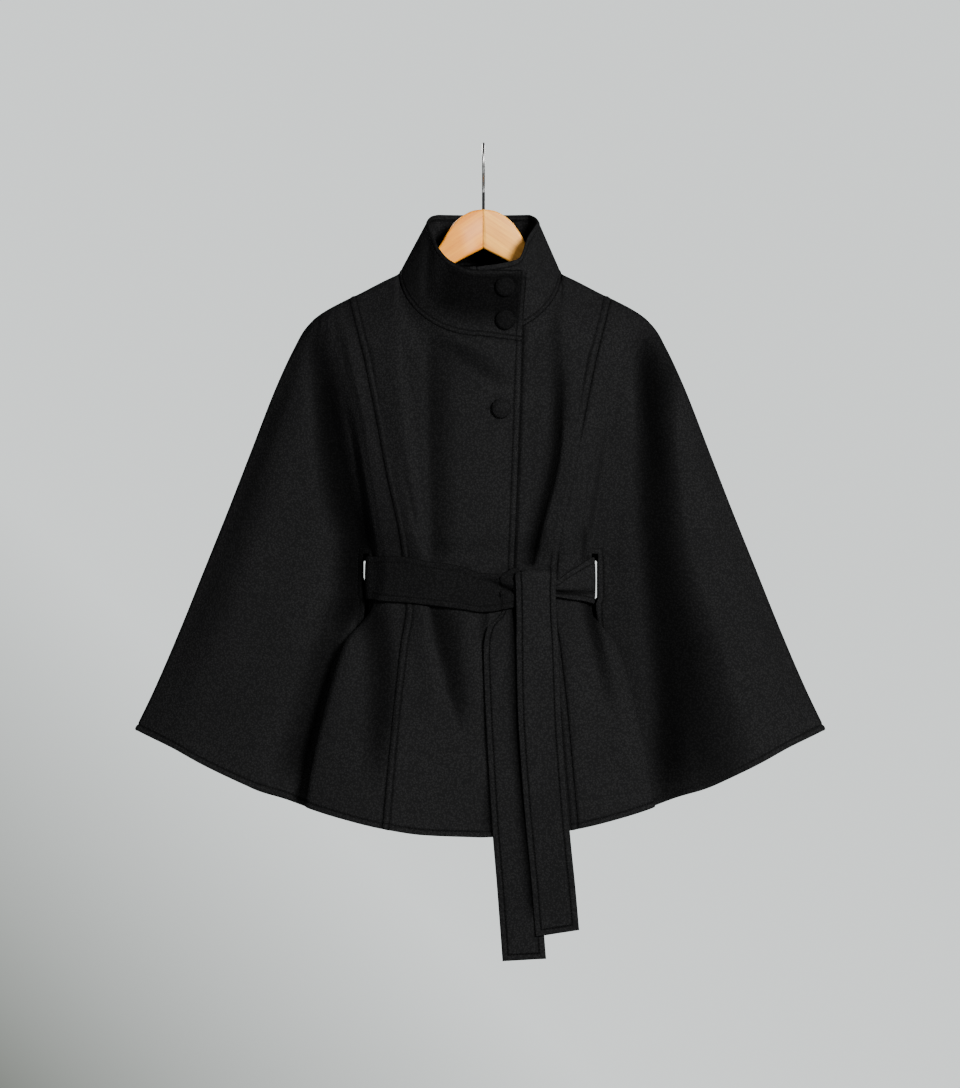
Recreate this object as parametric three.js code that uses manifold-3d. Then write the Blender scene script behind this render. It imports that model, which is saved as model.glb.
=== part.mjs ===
// A belted wool cape coat with a funnel collar, hanging on a flat wooden hanger.
// Millimetres, +Z up. The coat faces -Y. Right and left are the wearer's: right is the -X side.
// The origin is the underside of the hook's arc, where it rests on whatever holds it.
import * as THREE from 'three';
import { mergeVertices } from 'three/addons/utils/BufferGeometryUtils.js';
import Module from 'manifold-3d';

const wasm = await Module();
wasm.setup();

// Cloth
const cloth = { wall: 2.2, seamGap: 0.3, midX: -4, underlap: 4.4 };
// The neck seam is an ellipse in plan that dips at the front and rises a little at the back.
const neck = { halfWidth: 98, frontDepth: 71, backDepth: 50, shoulderZ: -155, frontDrop: 77, backRise: 13 };
// The ridge over the hanger is round; the edge of the wings is pressed flatter.
const ridge = { hangerRadius: 8.5, wingRadius: 3.5, narrowFrom: -215, narrowTo: -270 };
const slit = { top: -492, foot: -682 };
const edges = { overReach: 49, underReach: 12 };
const collarSize = { wall: 2.2, lift: 0.55, rows: 5 };
const buttonSize = { radius: 12, rim: 2.6, dome: 5.2, seat: 0.4, sides: 18 };
const belt = { wall: 3, seat: 1.8, sideReach: 134.4, rows: 4 };
const knot = { x: 57.5, z: -540, halfWide: 27.5, halfTall: 24.5, thick: 9, seat: 0.9 };
const tails = { wall: 3, columns: 3, hangsFrom: -828 };
const hanger = { thick: 10, edgeRound: 3, clear: 0.9, armEnd: 182, tipHeight: 22, mitreX: -0.6, mitreGap: 0.3 };
// The boards' crown and underside, from the mitre outward; between them the arm follows the cloth.
const hangerCrown = [
  { x: 0, z: -77 }, { x: 12, z: -78.6 }, { x: 23, z: -83.5 }, { x: 34, z: -92 }, { x: 43, z: -104 },
  { x: 52, z: -119.5 }, { x: 62, z: -132 },
];
const hangerNeck = [{ u: 80, z: -151.8 }, { u: 99, z: -163.2 }];
const hangerOnCloth = [116, 134, 152, 168];
const hangerUnder = [{ x: 150, z: -218 }, { x: 112, z: -197 }, { x: 74, z: -172 }, { x: 34, z: -142 }, { x: 0, z: -124 }];
const hook = {
  wire: 3.6, innerRadius: 20, bore: 2.2, boreDepth: 40, boreFoot: -102, tipTurn: -35, lastTurn: 230, stepTurn: 20,
  sides: 8, steps: 40,
};
// The wire's way from its arc back over the boards and down into them.
const hookStem = [{ y: -4.6, z: -45.5 }, { y: -0.8, z: -52 }, { y: 0, z: -60 }, { y: 0, z: -80 }, { y: 0, z: -101 }];

// Half-width of the coat, seen from the front, at heights along its overarm seam.
const outline = [
  { z: -155, half: 98 }, { z: -164, half: 117 }, { z: -179, half: 146 }, { z: -188, half: 165 },
  { z: -206, half: 196 }, { z: -224, half: 213 }, { z: -242, half: 223 }, { z: -260, half: 232 },
  { z: -296, half: 248 }, { z: -368, half: 276 }, { z: -440, half: 304 }, { z: -512, half: 333 },
  { z: -584, half: 362 }, { z: -656, half: 393 }, { z: -704, half: 416 }, { z: -860, half: 490 },
];
// Height of the hem at distances from the middle.
const hem = [
  { across: 0, z: -828 }, { across: 67, z: -825 }, { across: 118, z: -817 }, { across: 168, z: -805 },
  { across: 205, z: -794 }, { across: 235, z: -783 }, { across: 269, z: -773 }, { across: 302, z: -759 },
  { across: 336, z: -743 }, { across: 370, z: -725 }, { across: 403, z: -710 }, { across: 416, z: -704 },
];
// Lines that run down each half from neck or shoulder to hem. `at` spaces them; `top` is where
// the line leaves the shoulder ridge, measured from the middle.
const lines = {
  centre: { at: 0 }, quarter: { at: 50 }, neckLine: { at: 84, top: 98 }, princess: { at: 112, top: 158 },
  foldFront: { at: 180, top: 166 }, fold: { at: 190, top: 170 }, foldBack: { at: 200, top: 174 },
  slitInner: { at: 222, top: 177 }, slitOuter: { at: 232, top: 181 }, wing: { at: 312, top: 190 },
  wingRidge: { at: 400, top: 198 }, seam: { at: 480, top: 205 },
};
// Distance from the middle of each line, at each height. The skirt folds back below the belt,
// so there the fold lies farther out than the slit behind it.
const across = [
  { z: -260, neckLine: 104, princess: 139, fold: 160, slit: 180, wing: 196, wingRidge: 214 },
  { z: -330, neckLine: 95, princess: 125, fold: 144, slit: 164, wing: 192, wingRidge: 231 },
  { z: -400, neckLine: 84, princess: 112, fold: 133, slit: 151, wing: 190, wingRidge: 248 },
  { z: -465, neckLine: 70, princess: 98, fold: 122, slit: 141, wing: 192, wingRidge: 264 },
  { z: -494, neckLine: 65, princess: 94, fold: 117, slit: 137.4, wing: 195, wingRidge: 271 },
  { z: -525, neckLine: 62, princess: 91, fold: 116, slit: 137.4, wing: 200, wingRidge: 281 },
  { z: -556, neckLine: 60, princess: 89, fold: 126, slit: 137.4, wing: 206, wingRidge: 291 },
  { z: -600, neckLine: 66, princess: 95, fold: 163, slit: 142, wing: 216, wingRidge: 312 },
  { z: -682, neckLine: 72, princess: 104, fold: 187, slit: 157, wing: 240, wingRidge: 334 },
  { z: -760, neckLine: 78, princess: 111, fold: 203, slit: 172, wing: 262, wingRidge: 352 },
  { z: -840, neckLine: 84, princess: 118, fold: 213, slit: 184, wing: 280, wingRidge: 372 },
];
// How far the front stands forward of the overarm seam on each line.
const frontDepth = [
  { z: -260, centre: 65, quarter: 57, neckLine: 44, princess: 36, fold: 31, slit: 25, wing: 22, wingRidge: 13 },
  { z: -330, centre: 68, quarter: 66, neckLine: 59, princess: 52, fold: 46, slit: 34, wing: 35, wingRidge: 21 },
  { z: -400, centre: 72, quarter: 71, neckLine: 67, princess: 61, fold: 53, slit: 35, wing: 40, wingRidge: 26 },
  { z: -465, centre: 71, quarter: 70, neckLine: 68, princess: 63, fold: 52, slit: 33, wing: 42, wingRidge: 29 },
  { z: -494, centre: 63, quarter: 62, neckLine: 60, princess: 54, fold: 45, slit: 31, wing: 42, wingRidge: 30 },
  { z: -525, centre: 61, quarter: 60, neckLine: 58, princess: 52, fold: 43, slit: 30, wing: 42, wingRidge: 30 },
  { z: -556, centre: 62, quarter: 62, neckLine: 60, princess: 55, fold: 43, slit: 30, wing: 43, wingRidge: 30 },
  { z: -600, centre: 72, quarter: 73, neckLine: 73, princess: 71, fold: 57, slit: 36, wing: 45, wingRidge: 31 },
  { z: -682, centre: 84, quarter: 86, neckLine: 87, princess: 87, fold: 70, slit: 44, wing: 49, wingRidge: 33 },
  { z: -760, centre: 95, quarter: 98, neckLine: 100, princess: 102, fold: 80, slit: 51, wing: 53, wingRidge: 36 },
  { z: -840, centre: 105, quarter: 109, neckLine: 112, princess: 115, fold: 90, slit: 58, wing: 58, wingRidge: 39 },
];
// How far the back stands behind the overarm seam.
const backDepth = [
  { z: -260, centre: 50, quarter: 48, neckLine: 38, princess: 30, fold: 25, slit: 20, wing: 17, wingRidge: 10 },
  { z: -330, centre: 55, quarter: 54, neckLine: 49, princess: 42, fold: 36, slit: 26, wing: 25, wingRidge: 15 },
  { z: -400, centre: 57, quarter: 56, neckLine: 52, princess: 46, fold: 40, slit: 27, wing: 28, wingRidge: 18 },
  { z: -465, centre: 55, quarter: 54, neckLine: 51, princess: 46, fold: 39, slit: 26, wing: 29, wingRidge: 20 },
  { z: -494, centre: 50, quarter: 49, neckLine: 47, princess: 42, fold: 36, slit: 26, wing: 29, wingRidge: 20 },
  { z: -525, centre: 49, quarter: 48, neckLine: 46, princess: 41, fold: 35, slit: 26, wing: 29, wingRidge: 20 },
  { z: -556, centre: 50, quarter: 49, neckLine: 48, princess: 43, fold: 36, slit: 26, wing: 30, wingRidge: 20 },
  { z: -600, centre: 56, quarter: 57, neckLine: 56, princess: 54, fold: 45, slit: 29, wing: 32, wingRidge: 21 },
  { z: -682, centre: 64, quarter: 66, neckLine: 66, princess: 65, fold: 54, slit: 35, wing: 35, wingRidge: 23 },
  { z: -760, centre: 72, quarter: 75, neckLine: 76, princess: 75, fold: 62, slit: 40, wing: 38, wingRidge: 25 },
  { z: -840, centre: 80, quarter: 84, neckLine: 86, princess: 84, fold: 69, slit: 45, wing: 41, wingRidge: 27 },
];
const foldTurn = { radius: 6.5, upperSlope: 0.7, startsAt: -550, fullAt: -612 };
const slitTurn = { radius: 3.4, upperStep: 3, beltStep: 4.2, opensFrom: -484, opensTo: -500 };

// The collar's upper edge, from its over end round the back to its under end. `round` is the
// place on the neck seam in degrees: 0 in front, 90 at the right shoulder, 180 behind.
const collarTop = [
  { round: -30, x: 51, y: -64, z: -158 }, { round: -24, x: 42, y: -65, z: -154 },
  { round: 0, x: -5, y: -66, z: -154 }, { round: 30, x: -39, y: -57, z: -143 },
  { round: 57, x: -57, y: -38, z: -122 }, { round: 90, x: -67, y: -4, z: -91 },
  { round: 135, x: -54, y: 31, z: -82 }, { round: 180, x: -2, y: 43, z: -82 },
  { round: 225, x: 55, y: 33, z: -82 }, { round: 270, x: 66, y: -3, z: -92 },
  { round: 303, x: 54, y: -35, z: -112 }, { round: 330, x: 43, y: -51, z: -139 },
  { round: 360, x: -3, y: -59, z: -149 }, { round: 367, x: -16, y: -59, z: -150 },
];
// The sash's edges where it crosses the front, from its end at the knot to the right slit, and
// from its other end to the left slit. Behind, it keeps the width of the last rows.
const beltRight = [
  { x: 29, top: -517, foot: -558 }, { x: 0, top: -516, foot: -562 }, { x: -26, top: -508, foot: -558 },
  { x: -69, top: -501, foot: -553 }, { x: -98, top: -496, foot: -550 }, { x: -139, top: -496, foot: -546 },
];
const beltLeft = [
  { x: 86, top: -524, foot: -544 }, { x: 104, top: -512, foot: -548 }, { x: 120, top: -502, foot: -551 },
  { x: 132, top: -497, foot: -552 },
];
// The hanging tails: middle, width and distance off the cloth, at heights.
const overTail = [
  { z: -516, x: 62.5, width: 49, off: 12 },
  { z: -535, x: 62.5, width: 47, off: 12.5 }, { z: -560, x: 63, width: 47, off: 11.5 },
  { z: -600, x: 64, width: 49, off: 7.5 }, { z: -680, x: 66, width: 50, off: 6 },
  { z: -760, x: 71, width: 50, off: 6 }, { z: -830, x: 77, width: 50, off: 6 },
  { z: -880, x: 82, width: 50, off: 6 }, { z: -940, x: 87, width: 50, off: 6 },
];
const underTail = [
  { z: -567, x: 33, width: 34, off: 1.2 }, { z: -580, x: 28, width: 46, off: 1.4 },
  { z: -602, x: 25, width: 49, off: 1.4 }, { z: -660, x: 27, width: 50, off: 1.4 },
  { z: -740, x: 31, width: 50, off: 1.4 }, { z: -820, x: 36, width: 50, off: 1.8 },
  { z: -880, x: 41, width: 50, off: 1.8 }, { z: -972, x: 48, width: 50, off: 1.8 },
];
const buttonPlaces = [
  { name: 'button_collar_top', on: 'collar', x: 26, z: -173 },
  { name: 'button_collar_low', on: 'collar', x: 26, z: -213 },
  { name: 'button_front', on: 'front', x: 21, z: -319 },
];

const finishes = {
  wool: { color: 0x17181a, roughness: 0.95, metalness: 0 },
  wood: { color: 0xd9b183, roughness: 0.55, metalness: 0 },
  steel: { color: 0xb9bbbd, roughness: 0.28, metalness: 1 },
};

const clamp = (value, low, high) => Math.min(high, Math.max(low, value));
const mix = (from, to, share) => from + (to - from) * share;
const ease = (from, to, value) => {
  const share = clamp((value - from) / (to - from), 0, 1);
  return share * share * (3 - 2 * share);
};

// A smooth curve through its points that never swings past them (monotone cubic).
function curveThrough(keys, values) {
  const last = keys.length - 1;
  const slopes = keys.slice(1).map((key, i) => (values[i + 1] - values[i]) / (key - keys[i]));
  const tangents = keys.map((key, i) => {
    if (i === 0) return slopes[0];
    if (i === last) return slopes[last - 1];
    const before = slopes[i - 1];
    const after = slopes[i];
    return before * after <= 0 ? 0 : (2 * before * after) / (before + after);
  });
  return (key) => {
    const held = clamp(key, keys[0], keys[last]);
    let i = 0;
    while (i < last - 1 && held > keys[i + 1]) i += 1;
    const span = keys[i + 1] - keys[i];
    const t = (held - keys[i]) / span;
    const startShare = (1 + 2 * t) * (1 - t) ** 2;
    const endShare = t * t * (3 - 2 * t);
    const bend = t * (1 - t) ** 2 * tangents[i] - t * t * (1 - t) * tangents[i + 1];
    return startShare * values[i] + endShare * values[i + 1] + span * bend;
  };
}
// The same, down a table whose heights fall from row to row.
function curveDown(rows, column) {
  const curve = curveThrough(rows.map((row) => -row.z), rows.map((row) => row[column]));
  return (z) => curve(-z);
}

const outlineHalf = curveDown(outline, 'half');
const ridgeHeight = curveThrough(outline.map((row) => row.half), outline.map((row) => row.z));
const hemHeight = curveThrough(hem.map((row) => row.across), hem.map((row) => row.z));

// Nearest distance, seen from the front, from a point to the overarm seam.
const seamSamples = [];
for (let z = outline[0].z; z > -760; z -= z > -215 ? 2 : 8) seamSamples.push({ u: outlineHalf(z), z });
function distanceToSeam(u, z) {
  let nearest = Infinity;
  for (let i = 1; i < seamSamples.length; i += 1) {
    const a = seamSamples[i - 1];
    const b = seamSamples[i];
    const along = ((u - a.u) * (b.u - a.u) + (z - a.z) * (b.z - a.z)) / ((b.u - a.u) ** 2 + (b.z - a.z) ** 2);
    const t = clamp(along, 0, 1);
    nearest = Math.min(nearest, Math.hypot(u - mix(a.u, b.u, t), z - mix(a.z, b.z, t)));
  }
  return nearest;
}
// The cloth's outside rises from the seam in a quarter round.
function roundFromSeam(u, z) {
  const radius = mix(ridge.hangerRadius, ridge.wingRadius, ease(ridge.narrowFrom, ridge.narrowTo, z));
  const inset = Math.max(0, radius - distanceToSeam(u, z));
  return Math.sqrt(radius ** 2 - inset ** 2);
}

// A point of the neck seam: turn 0 is at the shoulder, 90 in the middle.
function neckSeam(face, turn) {
  const angle = THREE.MathUtils.degToRad(turn);
  const rise = Math.sin(Math.min(angle, Math.PI / 2));
  const u = neck.halfWidth * Math.cos(angle);
  if (face === 'back') {
    return { u, depth: neck.backDepth * Math.sin(angle), z: neck.shoulderZ + neck.backRise * rise };
  }
  const pastMiddle = 0.13 * Math.max(0, -u);
  const z = neck.shoulderZ - neck.frontDrop * rise ** 1.1 - pastMiddle;
  return { u, depth: neck.frontDepth * Math.sin(angle), z };
}

// One half of the front or the back, as a surface over `a`, the way out from the middle, and z.
class HalfCoat {
  constructor(face, half, edgeReach) {
    this.face = face;
    this.half = half;
    this.sign = half === 'right' ? -1 : 1;
    this.edgeAt = edgeReach > 0 ? -edgeReach : 0;
    this.edgeReach = edgeReach;
    this.depthRows = face === 'front' ? frontDepth : backDepth;
    this.curves = {};
    for (const name of ['neckLine', 'princess', 'fold', 'slit', 'wing', 'wingRidge']) {
      this.curves[name] = { u: curveDown(across, name), depth: curveDown(this.depthRows, name) };
    }
    for (const name of ['centre', 'quarter']) this.curves[name] = { depth: curveDown(this.depthRows, name) };
    const turnKeys = [this.edgeAt - 1, 0, lines.quarter.at, lines.neckLine.at];
    const edgeTurn = 90 + THREE.MathUtils.radToDeg(Math.asin((edgeReach + 1) / neck.halfWidth));
    this.neckTurn = curveThrough(turnKeys, [edgeTurn, 90, 58, 0]);
    const ridgeLines = Object.values(lines).filter((line) => line.top);
    this.ridgeTop = curveThrough(ridgeLines.map((line) => line.at), ridgeLines.map((line) => line.top));
  }

  // Where line `a` leaves the neck seam or the shoulder ridge.
  top(a) {
    if (a < lines.neckLine.at) return neckSeam(this.face, this.neckTurn(a));
    const u = this.ridgeTop(a);
    return { u, depth: 0, z: ridgeHeight(u) };
  }

  // The stations of the level section at z: how far out and how deep each line lies there.
  section(z) {
    const value = (name, kind) => {
      const line = lines[name === 'slit' ? 'slitInner' : name];
      const held = Math.min(z, across[0].z);
      const lower = this.curves[name][kind](held);
      if (z <= across[0].z) return lower;
      const topZ = ridgeHeight(line.top);
      const share = clamp((topZ - z) / (topZ - across[0].z), 0, 1);
      return kind === 'u' ? mix(line.top, lower, share) : lower * Math.sin((share * Math.PI) / 2);
    };
    const folded = ease(foldTurn.startsAt, foldTurn.fullAt, z);
    const fold = { u: value('fold', 'u'), depth: value('fold', 'depth') };
    const gap = { u: value('slit', 'u'), depth: value('slit', 'depth') };
    const near = clamp((gap.u - fold.u) / 4, 2, foldTurn.radius);
    const reach = mix(near, foldTurn.radius, folded);
    const rise = mix(near * foldTurn.upperSlope, foldTurn.radius, folded);
    const open = mix(slitTurn.upperStep, slitTurn.beltStep, ease(slitTurn.opensFrom, slitTurn.opensTo, z));
    const turn = mix(open, slitTurn.radius, folded);
    const turnRise = turn * folded;
    const centre = this.curves.centre.depth(z);
    const quarter = this.curves.quarter.depth(z);
    const reachShare = (this.edgeReach / lines.quarter.at) ** 2;
    return [
      { at: this.edgeAt - 1, u: -this.edgeReach - 1, depth: mix(centre, quarter, reachShare) },
      { at: 0, u: 0, depth: centre },
      { at: lines.quarter.at, u: this.quarterReach(z), depth: quarter },
      { at: lines.neckLine.at, u: value('neckLine', 'u'), depth: value('neckLine', 'depth') },
      { at: lines.princess.at, u: value('princess', 'u'), depth: value('princess', 'depth') },
      { at: lines.foldFront.at, u: fold.u - reach, depth: fold.depth + rise },
      { at: lines.fold.at, u: fold.u, depth: fold.depth },
      { at: lines.foldBack.at, u: fold.u + reach * (1 - 2 * folded), depth: fold.depth - rise },
      { at: lines.slitInner.at, u: gap.u + turn * (2 * folded - 1), depth: gap.depth + turnRise },
      { at: lines.slitOuter.at, u: gap.u + turn, depth: gap.depth - turnRise },
      { at: lines.wing.at, u: value('wing', 'u'), depth: value('wing', 'depth') },
      { at: lines.wingRidge.at, u: value('wingRidge', 'u'), depth: value('wingRidge', 'depth') },
      { at: lines.seam.at, u: outlineHalf(z), depth: 0 },
    ];
  }

  quarterReach(z) {
    const share = ease(-300, -465, z);
    return mix(50, 38, share);
  }

  // Distance out and depth at line `a` and height z, pulled to the top edge near it.
  spot(a, z) {
    const at = (height) => {
      const stations = this.section(height);
      const keys = stations.map((station) => station.at);
      return {
        u: curveThrough(keys, stations.map((station) => station.u))(a),
        depth: curveThrough(keys, stations.map((station) => station.depth))(a),
      };
    };
    const here = at(z);
    const top = this.top(a);
    const under = at(top.z);
    const pull = 1 - ease(0, 70, top.z - z);
    const u = here.u + (top.u - under.u) * pull;
    const topRound = roundFromSeam(top.u, top.z);
    const wanted = a < lines.neckLine.at ? top.depth - topRound : 0;
    const depth = here.depth + (wanted - under.depth) * pull;
    return { u, depth: roundFromSeam(u, z) + depth };
  }

  // Height of line `a` at row `row` of the grid.
  height(a, row) {
    const top = this.top(a).z;
    if (row.drop !== undefined) return top - row.drop;
    const wingShare = clamp((a - lines.slitOuter.at) / (lines.seam.at - lines.slitOuter.at), 0, 1) ** 1.2;
    const level = (z) => {
      const bodyShare = (z - rowLevels.first) / (slit.foot - rowLevels.first);
      return mix(z, mix(rowLevels.seamFirst, rowLevels.seamFoot, bodyShare), wingShare);
    };
    if (row.upper !== undefined) return mix(top - rowLevels.lastDrop, level(rowLevels.first), row.upper);
    if (row.level !== undefined) return level(row.level);
    return mix(level(slit.foot), this.hemAt(a), row.lower);
  }

  hemAt(a) {
    let z = -780;
    for (let i = 0; i < 14; i += 1) z = mix(z, hemHeight(Math.abs(this.spot(a, z).u)), 0.8);
    return z;
  }

  point(a, z) {
    const { u, depth } = this.spot(a, z);
    const under = this.half === 'left' && this.face === 'front' ? this.underlapAt(u) : 0;
    const y = cloth.seamGap / 2 + depth - under;
    return new THREE.Vector3(cloth.midX + this.sign * u, this.face === 'front' ? -y : y, z);
  }

  // The left front steps back under the right one.
  underlapAt(u) {
    return cloth.underlap * (1 - ease(56, 84, u));
  }
}

// Rows of a half's grid: drops below its top edge, then shares, levels and shares again.
const rowLevels = { lastDrop: 10, first: -300, seamFirst: -264, seamFoot: -590 };
const gridRows = [
  { drop: 0 }, { drop: 1.2 }, { drop: 4.5 }, { drop: rowLevels.lastDrop },
  { upper: 0.3 }, { upper: 0.65 }, { level: rowLevels.first }, { level: -345 }, { level: -395 },
  { level: -440 }, { level: -470 }, { level: slit.top }, { level: -510 }, { level: -532 },
  { level: -554 }, { level: -576 }, { level: -604 }, { level: -642 }, { level: slit.foot },
  { lower: 0.33 }, { lower: 0.67 }, { lower: 1 },
];
const slitRows = { from: 11, to: 18 };

// Lines of the grid: shares between the named lines, then fixed insets from the overarm seam.
function gridLines(edgeAt) {
  const between = (from, to, count) => Array.from({ length: count }, (_, i) => mix(from, to, i / count));
  return [
    ...(edgeAt < 0 ? between(edgeAt, 0, Math.ceil(-edgeAt / 17)) : []),
    ...between(0, lines.neckLine.at, 6), ...between(lines.neckLine.at, lines.princess.at, 1),
    ...between(lines.princess.at, lines.foldFront.at, 3), ...between(lines.foldFront.at, lines.fold.at, 2),
    ...between(lines.fold.at, lines.foldBack.at, 2), ...between(lines.foldBack.at, lines.slitInner.at, 2),
    ...between(lines.slitInner.at, lines.slitOuter.at, 2), ...between(lines.slitOuter.at, lines.wing.at, 3),
    ...between(lines.wing.at, lines.wingRidge.at, 3), ...between(lines.wingRidge.at, lines.seam.at, 2),
  ];
}
const seamInsets = [14, 4.5, 1.3, 0];

// The grid of one half: its points and the directions that point out of the cloth.
function halfGrid(coat) {
  const insideLines = gridLines(coat.edgeAt).filter((a) => a < 450);
  const columns = [...insideLines.map((a) => ({ a })), ...seamInsets.map((inset) => ({ inset }))];
  const points = gridRows.map((row) => columns.map((column) => {
    if (column.inset === undefined) return coat.point(column.a, coat.height(column.a, row));
    const seamZ = coat.height(lines.seam.at, row);
    const nearZ = coat.height(lines.seam.at - column.inset, row);
    const edge = coat.point(lines.seam.at, seamZ);
    if (column.inset === 0) return edge;
    // Step in from the seam by the inset, level with it, and take the depth there.
    const u = Math.abs(edge.x - cloth.midX) - column.inset * insetScale(row);
    return pointAcross(coat, u, nearZ);
  }));
  const normals = gridNormals(points, coat);
  shareNeckDirections(coat, columns, normals);
  return { columns, points, normals };
}
// Near the shoulder's tip the lines crowd, so the insets shrink there.
function insetScale(row) {
  if (row.drop !== undefined) return 0.35;
  return row.upper !== undefined ? mix(0.4, 1, row.upper) : 1;
}
// A point of the half at a distance from the middle, found by halving between two lines.
function pointAcross(coat, u, z) {
  let low = lines.wing.at;
  let high = lines.seam.at;
  for (let i = 0; i < 24; i += 1) {
    const middle = (low + high) / 2;
    if (coat.spot(middle, z).u < u) low = middle;
    else high = middle;
  }
  return coat.point(low, z);
}

function gridNormals(points, coat) {
  const rows = points.length;
  const columns = points[0].length;
  const outward = new THREE.Vector3(0, coat.face === 'front' ? -1 : 1, 0);
  const middle = faceNormal(points, 8, 2);
  const flip = middle.dot(outward) < 0 ? -1 : 1;
  return points.map((line, r) => line.map((point, c) => {
    const normal = faceNormal(points, r, c).multiplyScalar(flip);
    const onRidge = r === 0 && c > 0 && points[0][c].y * outward.y < 1;
    if (onRidge || c === columns - 1) normal.setY(0).normalize();
    return normal;
  }));

  function faceNormal(grid, r, c) {
    const alongRow = new THREE.Vector3().subVectors(grid[r][Math.min(c + 1, columns - 1)], grid[r][Math.max(c - 1, 0)]);
    const alongLine = new THREE.Vector3().subVectors(grid[Math.min(r + 1, rows - 1)][c], grid[Math.max(r - 1, 0)][c]);
    return alongRow.cross(alongLine).normalize();
  }
}

// Where the panels meet the collar both walls turn the same way, so their ends stay parallel.
const neckDirections = [];
function shareNeckDirections(coat, columns, normals) {
  columns.forEach((column, c) => {
    if (column.a === undefined || column.a > lines.neckLine.at) return;
    const turn = coat.neckTurn(column.a);
    const fromFront = coat.face === 'front' ? 90 - turn : 90 + turn;
    const round = coat.half === 'right' ? fromFront : 360 - fromFront;
    const here = collarPoint(round, 0);
    const along = collarPoint(round + 2, 0).sub(collarPoint(round - 2, 0));
    const collarNormal = along.cross(collarPoint(round, 0.2).sub(here).negate()).normalize();
    const shared = neckDirections.find((stop) => Math.abs(stop.round - round) < 0.5);
    if (shared) normals[0][c].copy(shared.normal);
    else normals[0][c].copy(collarNormal);
    neckDirections.push({ round, normal: normals[0][c].clone() });
  });
}
// A closed wall: the outside through the points, the inside one wall behind them, rims all round.
function wallGeometry(points, normals, wall, isHole = () => false, outset = 0) {
  const rows = points.length;
  const columns = points[0].length;
  const positions = [];
  points.forEach((line, r) => line.forEach((point, c) => {
    const outer = point.clone().addScaledVector(normals[r][c], outset);
    const inner = point.clone().addScaledVector(normals[r][c], outset - wall);
    positions.push(outer.x, outer.y, outer.z, inner.x, inner.y, inner.z);
  }));
  const outer = (r, c) => 2 * (r * columns + c);
  const inner = (r, c) => outer(r, c) + 1;
  const solid = (r, c) => r >= 0 && c >= 0 && r < rows - 1 && c < columns - 1 && !isHole(r, c);
  const index = [];
  const quad = (a, b, c, d) => index.push(a, b, c, a, c, d);
  for (let r = 0; r < rows - 1; r += 1) {
    for (let c = 0; c < columns - 1; c += 1) {
      if (!solid(r, c)) continue;
      quad(outer(r, c), outer(r, c + 1), outer(r + 1, c + 1), outer(r + 1, c));
      quad(inner(r + 1, c), inner(r + 1, c + 1), inner(r, c + 1), inner(r, c));
      if (!solid(r - 1, c)) quad(inner(r, c), inner(r, c + 1), outer(r, c + 1), outer(r, c));
      if (!solid(r + 1, c)) quad(outer(r + 1, c), outer(r + 1, c + 1), inner(r + 1, c + 1), inner(r + 1, c));
      if (!solid(r, c - 1)) quad(outer(r, c), outer(r + 1, c), inner(r + 1, c), inner(r, c));
      if (!solid(r, c + 1)) quad(inner(r, c + 1), inner(r + 1, c + 1), outer(r + 1, c + 1), outer(r, c + 1));
    }
  }
  return orientedGeometry(positions, index);
}

// A geometry without loose points whose faces point out.
function orientedGeometry(positions, index) {
  const corner = (i) => new THREE.Vector3().fromArray(positions, 3 * i);
  let volume = 0;
  for (let i = 0; i < index.length; i += 3) {
    volume += corner(index[i]).dot(corner(index[i + 1]).cross(corner(index[i + 2])));
  }
  if (volume < 0) {
    for (let i = 0; i < index.length; i += 3) [index[i + 1], index[i + 2]] = [index[i + 2], index[i + 1]];
  }
  const soup = [];
  for (const i of index) soup.push(positions[3 * i], positions[3 * i + 1], positions[3 * i + 2]);
  const geometry = new THREE.BufferGeometry();
  geometry.setAttribute('position', new THREE.Float32BufferAttribute(soup, 3));
  const merged = mergeVertices(geometry, 1e-4);
  merged.computeVertexNormals();
  return merged;
}

function mesh(name, geometry, finish) {
  const piece = new THREE.Mesh(geometry, new THREE.MeshStandardMaterial(finishes[finish]));
  piece.name = name;
  return piece;
}

// Cuts a half's grid at the princess seam and leaves half a seam gap on either side of it.
function cutAtSeam(grid, seamColumn) {
  const shift = (keep, direction) => {
    const points = grid.points.map((line) => keep(line).map((point) => point.clone()));
    const normals = grid.normals.map((line) => keep(line).map((normal) => normal.clone()));
    const edge = direction < 0 ? points[0].length - 1 : 0;
    points.forEach((line, r) => {
      const here = grid.points[r][seamColumn];
      const next = grid.points[r][seamColumn + 1];
      const step = new THREE.Vector3().subVectors(next, here).setLength((direction * cloth.seamGap) / 2);
      line[edge].add(step);
    });
    return { points, normals };
  };
  return {
    centre: shift((line) => line.slice(0, seamColumn + 1), -1),
    wing: shift((line) => line.slice(seamColumn), 1),
  };
}

const isSlitCell = (slitColumn) => (r, c) => (
  r >= slitRows.from && r < slitRows.to && c >= slitColumn && c < slitColumn + 2
);

const halves = {
  frontRight: new HalfCoat('front', 'right', edges.overReach),
  frontLeft: new HalfCoat('front', 'left', edges.underReach),
  backRight: new HalfCoat('back', 'right', 0),
  backLeft: new HalfCoat('back', 'left', 0),
};

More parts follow.
